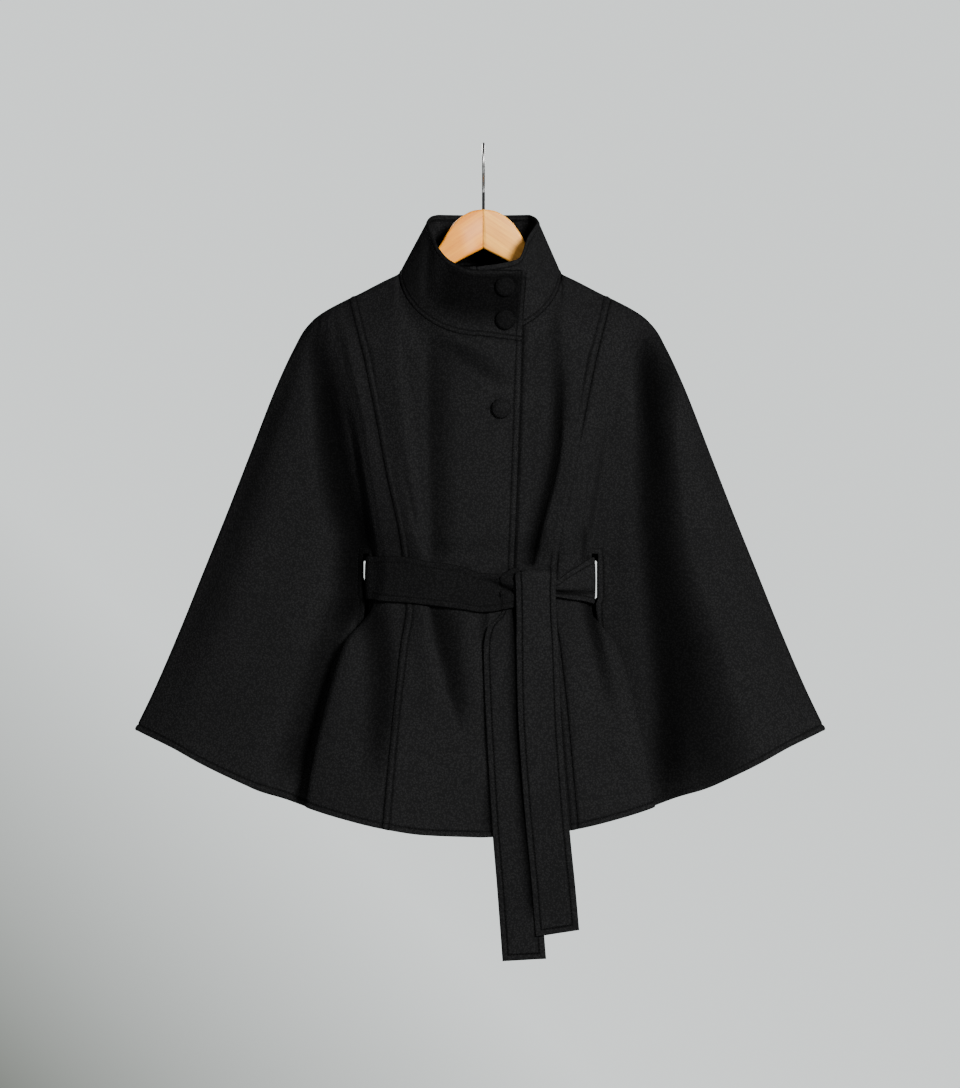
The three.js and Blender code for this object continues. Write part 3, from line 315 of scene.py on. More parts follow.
BACK_CREASES = (
    Crease(((470, 300), (476, 420), (474, 556)), -4.2, 14, 18, 110, 12),
    Crease(((398, 330), (404, 450), (428, 560)), 4.0, 18, 9, 120, 12),
    Crease(((440, 420), (448, 560)), -4.0, 8, 12, 100, 12),
    Crease(((556, 340), (548, 450), (528, 560)), 4.0, 9, 17, 120, 12),
    Crease(((512, 440), (505, 560)), -4.4, 12, 7, 100, 12),
    Crease(((588, 440), (580, 560)), -3.0, 9, 8, 90, 12),
    Crease(((336, 340), (350, 450), (360, 550)), -6.0, 20, 14, 90, 50),
    Crease(((632, 340), (616, 450), (606, 550)), -6.0, 14, 20, 90, 50),
    Crease(((300, 370), (258, 546), (222, 660)), 5.0, 30, 28, 140, 110),
    Crease(((672, 380), (712, 560), (752, 690)), 5.4, 28, 32, 140, 110),
    Crease(((640, 400), (664, 600), (668, 740)), -6.5, 14, 26, 90, 100),
    Crease(((318, 420), (296, 600), (286, 730)), -5.0, 24, 14, 90, 100),
    Crease(((432, 598), (420, 690), (404, 800)), -5.4, 12, 16, 14, 110),
    Crease(((452, 598), (450, 760)), 3.8, 14, 18, 14, 120),
    Crease(((500, 598), (508, 690), (516, 810)), -5.0, 16, 12, 14, 110),
    Crease(((548, 598), (566, 700), (580, 800)), -5.4, 14, 11, 14, 100),
    Crease(((530, 598), (540, 740)), 3.6, 14, 13, 14, 110),
    Crease(((386, 598), (372, 700), (352, 790)), -4.4, 14, 16, 14, 100),
)


def crease_height(creases: tuple[Crease, ...], x: np.ndarray, z: np.ndarray) -> np.ndarray:
    """The sum of the creases, with what stands out held down where the sash presses it."""
    total = np.zeros_like(x)
    for crease in creases:
        total = total + crease.height(x, z)
    pressed = ease(-486, -500, z) * (1 - ease(-556, -570, z)) * (1 - ease(124, 146, np.abs(x - COAT_MIDDLE)))
    low = np.minimum(total, 0.0)
    high = np.maximum(total, 0.0)
    return low * (1 - 0.35 * pressed) + high * (1 - 0.85 * pressed)


def painted_trough_shade(height: np.ndarray) -> np.ndarray:
    """Painted shade in a trough: 1 - exp(-depth / 4)."""
    return 1 - np.exp(-np.maximum(0.0, -height - 0.4) / 4.0)


@dataclass
class CoatForm:
    """The coat's outside as a surface, before it is cut into panels."""

    wall: float = 2.2
    mid_x: float = COAT_MIDDLE
    underlap: float = 4.4
    neck_half: float = 98.0
    neck_front: float = 71.0
    neck_back: float = 50.0
    shoulder_z: float = -155.0
    front_drop: float = 77.0
    back_rise: float = 13.0
    hanger_ridge: float = 8.5
    wing_ridge: float = 3.5
    fold_radius: float = 6.5
    fold_slope: float = 0.7
    slit_radius: float = 3.4
    slit_top: float = -492.0
    slit_foot: float = -682.0
    seam_reach: float = 25.0

    def __post_init__(self) -> None:
        """Keeps the overarm seam as points every few millimetres."""
        heights = np.concatenate([np.arange(-155, -215, -2.0), np.arange(-215, -760, -8.0)])
        self.seam_line = np.stack([self.outline_half(heights), heights], axis=-1)

    def outline_half(self, z: np.ndarray) -> np.ndarray:
        """Half-width of the coat at a height."""
        return curve_down(column(OUTLINE, 0), column(OUTLINE, 1), z)

    def ridge_at(self, u: np.ndarray) -> np.ndarray:
        """Height of the shoulder ridge at a distance from the middle."""
        return curve(column(OUTLINE, 1), column(OUTLINE, 0), u)

    def hem_at(self, u: np.ndarray) -> np.ndarray:
        """Height of the hem at a distance from the middle."""
        return curve(column(HEM, 0), column(HEM, 1), u)

    def seam_distance(self, u: np.ndarray, z: np.ndarray) -> np.ndarray:
        """Nearest distance, seen from the front, to the overarm seam's line of short stretches."""
        start, step = self.seam_line[:-1], np.diff(self.seam_line, axis=0)
        off = np.stack([u, z], axis=-1)[..., None, :] - start
        share = np.clip((off * step).sum(-1) / (step * step).sum(-1), 0, 1)
        return np.linalg.norm(off - share[..., None] * step, axis=-1).min(-1)

    def round_from_seam(self, u: np.ndarray, z: np.ndarray) -> np.ndarray:
        """A quarter round that lifts the cloth from the seam: sqrt(r^2 - (r - distance)^2)."""
        radius = mix(self.hanger_ridge, self.wing_ridge, ease(-215, -270, z))
        near = self.outline_half(z) - u < self.seam_reach
        distance = np.full(np.shape(u), self.seam_reach)
        distance[near] = self.seam_distance(u[near], z[near])
        inset = np.maximum(0.0, radius - distance)
        return np.sqrt(np.maximum(radius**2 - inset**2, 0.0))

    def neck_seam(self, face: Face, turn: np.ndarray) -> tuple[np.ndarray, np.ndarray, np.ndarray]:
        """The neck seam, half an ellipse in plan: turn is 0 at the shoulder and 90 in the middle.

        Args:
            face: front or back.
            turn: degrees round from the shoulder.

        Returns:
            Distance out, depth and height.
        """
        angle = np.radians(turn)
        rise = np.sin(np.minimum(angle, np.pi / 2))
        u = self.neck_half * np.cos(angle)
        if face is Face.BACK:
            return u, self.neck_back * np.sin(angle), self.shoulder_z + self.back_rise * rise
        z = self.shoulder_z - self.front_drop * np.maximum(rise, 0) ** 1.1 - 0.13 * np.maximum(0, -u)
        return u, self.neck_front * np.sin(angle), z


COAT = CoatForm()


@dataclass
class HalfForm:
    """Half of the front or the back, over `a`, the place across from middle to seam, and height z."""

    face: Face
    side: Side
    reach: float = 0.0

    @property
    def edge(self) -> float:
        """Where the panel's own edge lies in `a`: past the middle on the fronts."""
        return -self.reach if self.reach else 0.0

    def neck_turn(self, a: np.ndarray) -> np.ndarray:
        """Degrees round the neck seam of line `a`."""
        past = 90 + math.degrees(math.asin((self.reach + 1) / COAT.neck_half))
        return curve([self.edge - 1, 0, 50, 84], [past, 90, 58, 0], a)

    def top(self, a: np.ndarray) -> tuple[np.ndarray, np.ndarray, np.ndarray]:
        """Distance out, depth and height of the top of line `a`, on the neck seam or the ridge."""
        u, depth, z = COAT.neck_seam(self.face, self.neck_turn(a))
        ridged = [line for line in LINES.values() if line[1]]
        out = curve([line[0] for line in ridged], [line[1] for line in ridged], a)
        on_ridge = a >= LINES["neck_line"][0]
        height = np.where(on_ridge, COAT.ridge_at(out), z)
        return np.where(on_ridge, out, u), np.where(on_ridge, 0, depth), height

    @staticmethod
    def slit_turn(z: np.ndarray) -> tuple[np.ndarray, np.ndarray]:
        """The share to which the skirt's edge is folded back, and half the slit's width."""
        folded = ease(-550, -612, z)
        return folded, mix(mix(3.0, 4.2, ease(-484, -500, z)), COAT.slit_radius, folded)

    def stations(self, z: np.ndarray) -> tuple[np.ndarray, np.ndarray, np.ndarray]:
        """The places, distances out and depths of all the lines at heights z.

        Between -550 and -612 the skirt's edge folds back over the wing: its turn opens from a
        shallow step into a half round, and the slit behind it turns under.
        """
        held = np.minimum(z, HEIGHTS[0])

        def value(name: str, table: dict[str, tuple[float, ...]], is_depth: bool) -> np.ndarray:
            """A line's value from its table, led up to its top above the table's first row."""
            lower = curve_down(HEIGHTS, table[name], held)
            top = LINES["slit_inner" if name == "slit" else name][1] or 0
            ridge = float(COAT.ridge_at(np.array(top)))
            share = np.clip((ridge - z) / (ridge - HEIGHTS[0]), 0, 1)
            led = lower * np.sin(share * np.pi / 2) if is_depth else mix(top, lower, share)
            return np.where(z <= HEIGHTS[0], lower, led)

        def out(name: str) -> np.ndarray:
            """Distance out of a line."""
            return value(name, ACROSS, False)

        def deep(name: str) -> np.ndarray:
            """Depth of a line."""
            return value(name, DEPTH[self.face], True)

        folded, turn = self.slit_turn(z)
        fold_u, fold_d, gap_u, gap_d = out("fold"), deep("fold"), out("slit"), deep("slit")
        near = np.clip((gap_u - fold_u) / 4, 2, COAT.fold_radius)
        reach = mix(near, COAT.fold_radius, folded)
        rise = mix(near * COAT.fold_slope, COAT.fold_radius, folded)
        under = turn * folded
        centre = curve_down(HEIGHTS, DEPTH[self.face]["centre"], z)
        quarter = curve_down(HEIGHTS, DEPTH[self.face]["quarter"], z)
        zero = np.zeros_like(z)
        rows = (
            (self.edge - 1, zero - self.reach - 1, mix(centre, quarter, (self.reach / 50) ** 2)),
            (0, zero, centre),
            (50, mix(50, 38, ease(-300, -465, z)), quarter),
            (84, out("neck_line"), deep("neck_line")),
            (PRINCESS, out("princess"), deep("princess")),
            (180, fold_u - reach, fold_d + rise),
            (190, fold_u, fold_d),
            (200, fold_u + reach * (1 - 2 * folded), fold_d - rise),
            (LIP_IN, gap_u + turn * (2 * folded - 1), gap_d + under),
            (LIP_OUT, gap_u + turn, gap_d - under),
            (312, out("wing"), deep("wing")),
            (400, out("wing_ridge"), deep("wing_ridge")),
            (OVERARM, COAT.outline_half(z), zero),
        )
        places, out_at, deep_at = zip(*rows)
        return np.array(places, float), np.stack(out_at, -1), np.stack(deep_at, -1)

    def spot(self, a: np.ndarray, z: np.ndarray) -> tuple[np.ndarray, np.ndarray]:
        """Distance out and depth at line `a` and height z.

        A curve across the lines at that height, pulled over the last 70 mm to where the line
        leaves the neck seam or the ridge, plus the quarter round from the overarm seam.
        """
        a, z = np.broadcast_arrays(np.asarray(a, float), np.asarray(z, float))
        keys, out, deep = self.stations(z)
        top_u, top_d, top_z = self.top(a)
        _, top_out, top_deep = self.stations(top_z)
        pull = 1 - ease(0, 70, top_z - z)
        u = curve(keys, out, a) + (top_u - curve(keys, top_out, a)) * pull
        wanted = np.where(a < LINES["neck_line"][0], top_d - COAT.round_from_seam(top_u, top_z), 0)
        depth = curve(keys, deep, a) + (wanted - curve(keys, top_deep, a)) * pull
        return u, COAT.round_from_seam(u, z) + depth

    def hem(self, a: np.ndarray) -> np.ndarray:
        """Height of the hem on line `a`, found by repeated reading."""
        z = np.full_like(np.asarray(a, float), -780.0)
        for _ in range(12):
            z = mix(z, COAT.hem_at(np.abs(self.spot(a, z)[0])), 0.8)
        return z

    def place_across(self, u: np.ndarray, z: np.ndarray) -> np.ndarray:
        """The line `a` whose distance out is u at height z: a few steps along the slope."""
        a = np.clip(u * 1.4, self.edge, 180.0)
        for _ in range(5):
            here, ahead = self.spot(a, z)[0], self.spot(a + 0.5, z)[0]
            a = np.clip(a - 0.5 * (here - u) / np.maximum(ahead - here, 0.1), self.edge, 180.0)
        return a

    def creased(self, a: np.ndarray, z: np.ndarray) -> np.ndarray:
        """Points of the outside with its creases, faded out at the overarm seam and the neck."""
        u, depth = self.spot(a, z)
        u = u - self.lip_shift(a, z)
        x = COAT.mid_x + self.side.value * u
        if self.reach > 40:
            x = x + self.edge_lean(z) * (1 - ease(self.edge, -8, a))
        creases = FRONT_CREASES if self.face is Face.FRONT else BACK_CREASES
        from_top = self.top(np.broadcast_to(a, z.shape))[2] - z
        calm = ease(2, 26, COAT.outline_half(z) - u) * ease(0, 34, from_top)
        y = depth - self.under(u) + crease_height(creases, x, z) * calm
        return np.stack([x, self.face.value * y, z], -1)

    def lip_shift(self, a: np.ndarray, z: np.ndarray) -> np.ndarray:
        """How far the slit's outer lip draws inward, so that little is seen through it.

        The lips close under the belt and lie near it beside the belt; the wing takes up the shift
        over a short way behind the lip.

        Args:
            a: places across.
            z: heights.

        Returns:
            The shift in millimetres.
        """
        folded, turn = self.slit_turn(z)
        closed = 2 * turn * (1 - folded) - 0.5
        sash_foot, slack, foot = (-541, 0.1, -523) if self.side is Side.RIGHT else (-546, -0.2, -545)
        beside = ease(-496, -500, z) * (1 - ease(sash_foot, sash_foot - 6, z))
        if self.face is Face.FRONT:
            amount = 0.35 * closed * ease(sash_foot, sash_foot - 6, z)
        else:
            window = ease(-496, -500, z) * (1 - ease(foot, foot - 6, z))
            amount = mix(closed, mix(3.6, slack, window), beside)
        return amount * ease(-436, -486, z) * (1 - ease(234, 274, a)) * (a > 226)

    def edge_lean(self, z: np.ndarray) -> np.ndarray:
        """How far the right front's edge leans to the left on its way down to the sash."""
        return mix(1.0, -9.0, np.clip((-238 - z) / 266, 0, 1))

    def under(self, u: np.ndarray) -> np.ndarray:
        """How far the left front steps back under the right one."""
        if self.face is Face.BACK or self.side is Side.RIGHT:
            return np.zeros_like(u)
        return COAT.underlap * (1 - ease(56, 84, u))


FRONT_RIGHT = HalfForm(Face.FRONT, Side.RIGHT, 49)
FRONT_LEFT = HalfForm(Face.FRONT, Side.LEFT, 12)
BACK_RIGHT = HalfForm(Face.BACK, Side.RIGHT)
BACK_LEFT = HalfForm(Face.BACK, Side.LEFT)


def front_y(x: np.ndarray, z: np.ndarray) -> np.ndarray:
    """The front's outside at x and z, without its creases or the step of the lower layer."""
    u = np.abs(x - COAT.mid_x)
    depths = [half.spot(half.place_across(u, z), z)[1] for half in (FRONT_RIGHT, FRONT_LEFT)]
    return -np.where(x < COAT.mid_x, *depths)


def highest_bell(lines: list[np.ndarray], middle: float, width: float) -> np.ndarray:
    """The highest of bell curves over distances: exp(-((distance - middle) / width)^2)."""
    return np.max([np.exp(-(((line - middle) / width) ** 2)) for line in lines], axis=0)


def grid_normals(points: np.ndarray, face: Face | None = None) -> np.ndarray:
    """Normals of a grid: the slope across times the slope down, at each point.

    Args:
        points: rows by columns by 3.
        face: the side that the grid should face; without it the product is kept.

    Returns:
        Unit normals in the grid's shape.
    """
    normals = unit(np.cross(np.gradient(points, axis=1), np.gradient(points, axis=0)))
    if face is not None and normals[..., 1].mean() * face.value < 0:
        normals = -normals
    return normals


def rows_to_mesh(name: str, vertices: np.ndarray, faces: list, finish: bpy.types.Material,
                 cut: np.ndarray | None = None, press_and_painted_shade: np.ndarray | None = None) -> bpy.types.Object:
    """A mesh object at the origin from millimetre points.

    Args:
        name: the piece's name.
        vertices: points in millimetres.
        faces: arrays of corner numbers, each of quads or triangles.
        finish: its material.
        cut: flat place of each point in millimetres, kept as the UV map in metres.
        press_and_painted_shade: how dark each point is, as painted shade, kept as an attribute.

    Returns:
        The new object, shaded smooth.
    """
    mesh = bpy.data.meshes.new(name)
    mesh.from_pydata((vertices * MM).tolist(), [], [face for group in faces for face in group.tolist()])
    mesh.update()
    mesh.shade_smooth()
    if cut is not None:
        corner = np.empty(len(mesh.loops), np.int32)
        mesh.loops.foreach_get("vertex_index", corner)
        mesh.uv_layers.new(name="cut").data.foreach_set("uv", (cut[corner] * MM).astype(np.float32).ravel())
    # The painted shade is stored per point for the wool material to darken its colour.
    if press_and_painted_shade is not None:
        mesh.attributes.new("press_and_painted_shade", "FLOAT", "POINT").data.foreach_set("value", press_and_painted_shade.astype(np.float32))
    mesh.materials.append(finish)
    piece = bpy.data.objects.new(name, mesh)
    bpy.context.scene.collection.objects.link(piece)
    return piece


def closed_wall(points: np.ndarray, normals: np.ndarray, wall: float | np.ndarray,
                hole: np.ndarray | None = None, rim: float = 0.3) -> tuple[np.ndarray, list, np.ndarray]:
    """A wall of cloth: the grid outside, the grid one wall behind it, and a rounded rim between.

    The rim has one line of points midway, pushed away from the cloth by a share of the wall.

    Args:
        points: the outside, rows by columns by 3.
        normals: unit directions out of the cloth.
        wall: its thickness, one for all or one a point.
        hole: cells that are left out, rows - 1 by columns - 1.
        rim: how far the rim stands out, as a share of the wall.

    Returns:
        Vertices, groups of quads, and for each vertex the grid point it stands by.
    """
    rows, columns = points.shape[:2]
    wall = np.broadcast_to(np.asarray(wall, float), (rows, columns)).reshape(-1, 1)
    outer, facing = points.reshape(-1, 3), normals.reshape(-1, 3)
    inner = outer - facing * wall
    number = np.arange(rows * columns).reshape(rows, columns)
    a, b, c, d = number[:-1, :-1], number[:-1, 1:], number[1:, 1:], number[1:, :-1]
    solid = np.ones((rows - 1, columns - 1), bool) if hole is None else ~hole
    turned = (np.cross(outer[b] - outer[a], outer[d] - outer[a]) * facing[a]).sum() < 0
    if turned:
        b, d = d, b
    quads = np.stack([a, b, c, d], -1)[solid]
    around = np.pad(solid, 1)
    above, below = solid & ~around[:-2, 1:-1], solid & ~around[2:, 1:-1]
    before, past = solid & ~around[1:-1, :-2], solid & ~around[1:-1, 2:]
    if turned:
        above, past, below, before = before, below, past, above
    sides = ((above, a, b), (past, b, c), (below, c, d), (before, d, a))
    edges = np.concatenate([np.stack([start[open_], end[open_]], -1) for open_, start, end in sides])
    away = np.zeros_like(outer)
    push = unit(np.cross(outer[edges[:, 1]] - outer[edges[:, 0]], facing[edges[:, 0]]))
    np.add.at(away, edges[:, 0], push)
    np.add.at(away, edges[:, 1], push)
    border = np.unique(edges)
    middle = (outer[border] + inner[border]) / 2 + unit(away[border]) * wall[border] * rim
    count = rows * columns
    lookup = np.zeros(count, int)
    lookup[border] = 2 * count + np.arange(len(border))
    p, q = edges[:, 0], edges[:, 1]
    outer_rim = np.stack([q, p, lookup[p], lookup[q]], -1)
    inner_rim = np.stack([lookup[q], lookup[p], p + count, q + count], -1)
    vertices = np.concatenate([outer, inner, middle])
    stands_by = np.concatenate([np.arange(count), np.arange(count), border])
    return vertices, [quads, quads[:, ::-1] + count, outer_rim, inner_rim], stands_by


def capped_rings(rows: int, around: int) -> list[np.ndarray]:
    """Faces of closed rings of points: quads between them and a fan to a last point at either end."""
    number = np.arange(rows * around).reshape(rows, around)
    following = np.roll(number, -1, axis=1)
    quads = np.stack([number[:-1], following[:-1], following[1:], number[1:]], -1).reshape(-1, 4)
    base = np.stack([following[0], number[0], np.full(around, rows * around)], -1)
    crown = np.stack([number[-1], following[-1], np.full(around, rows * around + 1)], -1)
    return [quads, base, crown]


def drop_loose(vertices: np.ndarray, faces: list, by: np.ndarray) -> tuple[np.ndarray, list, np.ndarray]:
    """Leaves out the points that no face uses, such as those inside a slit."""
    used = np.unique(np.concatenate([group.ravel() for group in faces]))
    lookup = np.zeros(len(vertices), int)
    lookup[used] = np.arange(len(used))
    return vertices[used], [lookup[group] for group in faces], by[used]


@dataclass(frozen=True)
class Thread:
    """Topstitching thread: each stitch is a small flattened capsule along its line."""

    pitch: float = 3.5
    length: float = 2.5
    radius: float = 0.26
    around: int = 6

    def stitches(self, lines: list[tuple[np.ndarray, np.ndarray]]) -> tuple[np.ndarray, list]:
        """Stitches along lines on the cloth.

        Args:
            lines: pairs of points and normals along each line.

        Returns:
            Vertices and faces of all the stitches.
        """
        ends = np.array([-0.5, -0.36, 0.36, 0.5]) * self.length
        girth = np.array([0.35, 1.0, 1.0, 0.35]) * self.radius
        turn = np.linspace(0, 2 * np.pi, self.around, endpoint=False)
        along = np.repeat(ends, self.around)
        side = (girth[:, None] * np.cos(turn)).ravel()
        lift = (girth[:, None] * np.sin(turn) * 0.8).ravel()
        ring = np.arange(self.around)
        following = (ring + 1) % self.around
        band = np.stack([ring, following, self.around + following, self.around + ring], -1)
        bands = [band + k * self.around for k in range(len(ends) - 1)]
        caps = [ring[::-1][None], ((len(ends) - 1) * self.around + ring)[None]]
        template = len(along)
        all_points, centres_count = [], 0
        for points, normals in lines:
            length = run_length(points)
            at = np.arange(self.pitch / 2, length[-1], self.pitch)
            if not len(at):
                continue

            def read(values: np.ndarray, where: np.ndarray) -> np.ndarray:
                """Values along the line at lengths."""
                return np.stack([np.interp(where, length, values[:, k]) for k in range(3)], -1)

            centre, up = read(points, at), unit(read(normals, at))
            forward = unit(read(points, at + 0.6) - read(points, at - 0.6))
            across = unit(np.cross(forward, up))
            shares = ((along, forward), (side, across), (lift, up))
            made = centre[:, None] + sum(share[:, None] * way[:, None] for share, way in shares)
            all_points.append(made.reshape(-1, 3))
            centres_count += len(at)
        shift = np.arange(centres_count)[:, None, None] * template
        quads = (np.concatenate(bands)[None] + shift).reshape(-1, 4)
        tips = (np.concatenate(caps)[None] + shift).reshape(-1, self.around)
        return np.concatenate(all_points), [quads, tips]


THREAD = Thread()


@dataclass(frozen=True)
class Wool:
    """Melton wool: near black, felted, with a fine pebbled surface under a short nap."""

    # deep and lit: the ends of the felt's value, painted shade of its cells with random cloudiness.
    deep: tuple[float, float, float] = (0.0042, 0.0042, 0.0043)
    lit: tuple[float, float, float] = (0.0106, 0.0106, 0.0107)
    # shade: the near black that the cloth is painted towards where it should lie in shade.
    shade: tuple[float, float, float] = (0.0002, 0.0002, 0.0002)
    roughness: float = 1.0
    cell: float = 430.0
    nap: float = 1500.0


@dataclass(frozen=True)
class SewingThread:
    """Black thread, a little smoother than the cloth, with a fine twist."""

    deep: tuple[float, float, float] = (0.0012, 0.0012, 0.0012)
    lit: tuple[float, float, float] = (0.0040, 0.0040, 0.0041)
    roughness: float = 0.75
    twist: float = 2600.0


@dataclass(frozen=True)
class Beech:
    """Pale lacquered beech: long grain that rises to the middle, with short dark rays.

    The left board's wood is paler: its colour is multiplied, from the mitre's X in metres on.
    """

    pale: tuple[float, float, float] = (0.60, 0.225, 0.007)
    dark: tuple[float, float, float] = (0.45, 0.140, 0.004)
    left_board: tuple[float, float, float] = (1.10, 1.38, 6.2)
    mitre_x: float = -0.0006
    roughness: float = 0.5
    slope: float = 33.0


@dataclass(frozen=True)
class Steel:
    """Drawn steel wire, faintly scratched, painted black below a height in metres."""

    colour: tuple[float, float, float] = (0.24, 0.24, 0.235)
    paint: tuple[float, float, float] = (0.004, 0.004, 0.004)
    roughness: float = 0.34
    scratches: float = 700.0
    sleeve_top: float = -0.056
    sleeve_fade: float = 0.0008


@dataclass(frozen=True)
class Floor:
    """Plain pale floor with a barely seen unevenness."""

    dark: tuple[float, float, float] = (0.55, 0.56, 0.56)
    pale: tuple[float, float, float] = (0.60, 0.61, 0.61)
    roughness: float = 0.8


def feed(tree: bpy.types.NodeTree, node: bpy.types.Node, sockets: dict) -> None:
    """Gives a node's inputs their values by name or number; another node's output is linked."""
    for place, value in sockets.items():
        if isinstance(value, bpy.types.NodeSocket):
            tree.links.new(value, node.inputs[place])
        else:
            node.inputs[place].default_value = value


def add_node(tree: bpy.types.NodeTree, kind: str, sockets: dict | None = None,
             **settings: object) -> bpy.types.Node:
    """A new shader node.

    Args:
        tree: where it goes.
        kind: its type, without the word that all shader nodes share.
        sockets: what its inputs get.
        settings: its own properties, set before its inputs.

    Returns:
        The node.
    """
    node = tree.nodes.new("ShaderNode" + kind)
    for name, value in settings.items():
        setattr(node, name, value)
    feed(tree, node, sockets or {})
    return node


def colour_ramp(tree: bpy.types.NodeTree, value: bpy.types.NodeSocket, low: tuple, high: tuple,
                ends: tuple[float, float] = (0.0, 1.0)) -> bpy.types.NodeSocket:
    """The output of a ramp from a low to a high colour, at a value between its ends."""
    ramp = add_node(tree, "ValToRGB", {"Fac": value})
    for element, place, colour in zip(ramp.color_ramp.elements, ends, (low, high)):
        element.position = place
        element.color = (*colour, 1.0)
    return ramp.outputs["Color"]


class Finishes:
    """Builds the shared node groups and the materials."""

    def __init__(self) -> None:
        """Makes each finish once."""
        self.cloth_group = self.make_cloth_group()
        self.grain_group = self.make_grain_group()
        self.wool = self.make_wool(Wool())
        self.thread = self.make_thread(SewingThread())
        self.beech = self.make_beech(Beech())
        self.steel = self.make_steel(Steel())
        self.floor = self.make_floor(Floor())

    @staticmethod
    def group(name: str, inputs: dict[str, float | None], outputs: tuple[str, ...]) -> tuple:
        """A new node group with named sockets.

        Args:
            name: the group's name.
            inputs: socket name to its default, or None for a vector.
            outputs: names of its values.

        Returns:
            The group, its input node and its output node.
        """
        tree = bpy.data.node_groups.new(name, "ShaderNodeTree")
        for label, default in inputs.items():
            kind = "NodeSocketVector" if default is None else "NodeSocketFloat"
            socket = tree.interface.new_socket(name=label, in_out="INPUT", socket_type=kind)
            if default is not None:
                socket.default_value = default
        for label in outputs:
            tree.interface.new_socket(name=label, in_out="OUTPUT", socket_type="NodeSocketFloat")
        return tree, tree.nodes.new("NodeGroupInput"), tree.nodes.new("NodeGroupOutput")

    def make_cloth_group(self) -> bpy.types.NodeTree:
        """Pebbled felt: fine cells, a nap of short fibres and slow cloudiness, as height and value; the value
        is painted shade, darker in the hollows between the cells, with random cloudiness.
        """
        inputs = {"Vector": None, "Cell": Wool.cell, "Nap": Wool.nap}
        tree, given, out = self.group("felted_cloth", inputs, ("Height", "Shade"))
        at = given.outputs["Vector"]
        cells = add_node(tree, "TexVoronoi", {"Vector": at, "Scale": given.outputs["Cell"],
                                              "Smoothness": 0.35},
                         feature="SMOOTH_F1")
        nap = add_node(tree, "TexNoise", {"Vector": at, "Scale": given.outputs["Nap"], "Detail": 3.0,
                                          "Roughness": 0.65})
        cloud = add_node(tree, "TexNoise", {"Vector": at, "Scale": 14.0, "Detail": 3.0})
        spread = add_node(tree, "MapRange", {"Value": cells.outputs["Distance"], "From Min": 0.70,
                                             "From Max": 0.04}).outputs["Result"]
        height = add_node(tree, "Math", {0: nap.outputs["Fac"], 1: 0.35, 2: spread}, operation="MULTIPLY_ADD")
        # Painted shade: lighter on the raised cells and darker in the hollows between them, as the bump.
        pebbles = add_node(tree, "Math", {0: spread, 1: 0.7, 2: -0.12}, operation="MULTIPLY_ADD")
        shade = add_node(tree, "Math", {0: cloud.outputs["Fac"], 1: 0.25, 2: pebbles.outputs[0]},
                         operation="MULTIPLY_ADD")
        feed(tree, out, {"Height": height.outputs[0], "Shade": shade.outputs[0]})
        return tree

    def make_grain_group(self) -> bpy.types.NodeTree:
        """Long wood grain: noise stretched along X, finer rays, as two values."""
        tree, given, out = self.group("long_grain", {"Vector": None}, ("Value", "Rays"))
        for name, stretch, scale, detail in (("Value", 0.05, 330.0, 4.0), ("Rays", 0.16, 900.0, 2.0)):
            squeeze = add_node(tree, "Mapping", {"Vector": given.outputs["Vector"],
                                                 "Scale": (stretch, 1.0, 1.0)})
            noise = add_node(tree, "TexNoise", {"Vector": squeeze.outputs["Vector"], "Scale": scale,
                                                "Detail": detail})
            feed(tree, out, {name: noise.outputs["Fac"]})
        return tree

    @staticmethod
    def material(name: str) -> tuple[bpy.types.Material, bpy.types.NodeTree, bpy.types.Node]:
        """A new material with its tree and its Principled node."""
        made = bpy.data.materials.new(name)
        made.use_nodes = True
        return made, made.node_tree, made.node_tree.nodes["Principled BSDF"]

    def make_wool(self, wool: Wool) -> bpy.types.Material:
        """Wool: felt bump, cloudy near-black, darker where the painted shade attribute says so."""
        made, tree, shader = self.material("wool_cloth")
        place = add_node(tree, "TexCoord").outputs["Object"]
        felt = add_node(tree, "Group", {"Vector": place, "Cell": wool.cell, "Nap": wool.nap},
                        node_tree=self.cloth_group)
        colour = colour_ramp(tree, felt.outputs["Shade"], wool.deep, wool.lit, (0.1, 0.95))
        # Painted shade: the cloth's colour is mixed towards near black by this attribute.
        press_and_painted_shade = add_node(tree, "Attribute", attribute_name="press_and_painted_shade").outputs["Fac"]
        darker = add_node(tree, "Mix", {"Factor": press_and_painted_shade, "A": colour, "B": (*wool.shade, 1.0)},
                          data_type="RGBA")
        bump = add_node(tree, "Bump", {"Height": felt.outputs["Height"], "Strength": 0.55,
                                       "Distance": 0.0005})
        feed(tree, shader, {"Base Color": darker.outputs["Result"], "Normal": bump.outputs["Normal"],
                            "Roughness": wool.roughness, "Specular IOR Level": 0.0})
        return made

    def make_thread(self, thread: SewingThread) -> bpy.types.Material:
        """Thread: a colour between two by a fine noise."""
        made, tree, shader = self.material("black_thread")
        place = add_node(tree, "TexCoord").outputs["Object"]
        noise = add_node(tree, "TexNoise", {"Vector": place, "Scale": thread.twist})
        colour = colour_ramp(tree, noise.outputs["Fac"], thread.deep, thread.lit)
        feed(tree, shader, {"Base Color": colour, "Roughness": thread.roughness, "Specular IOR Level": 0.05})
        return made

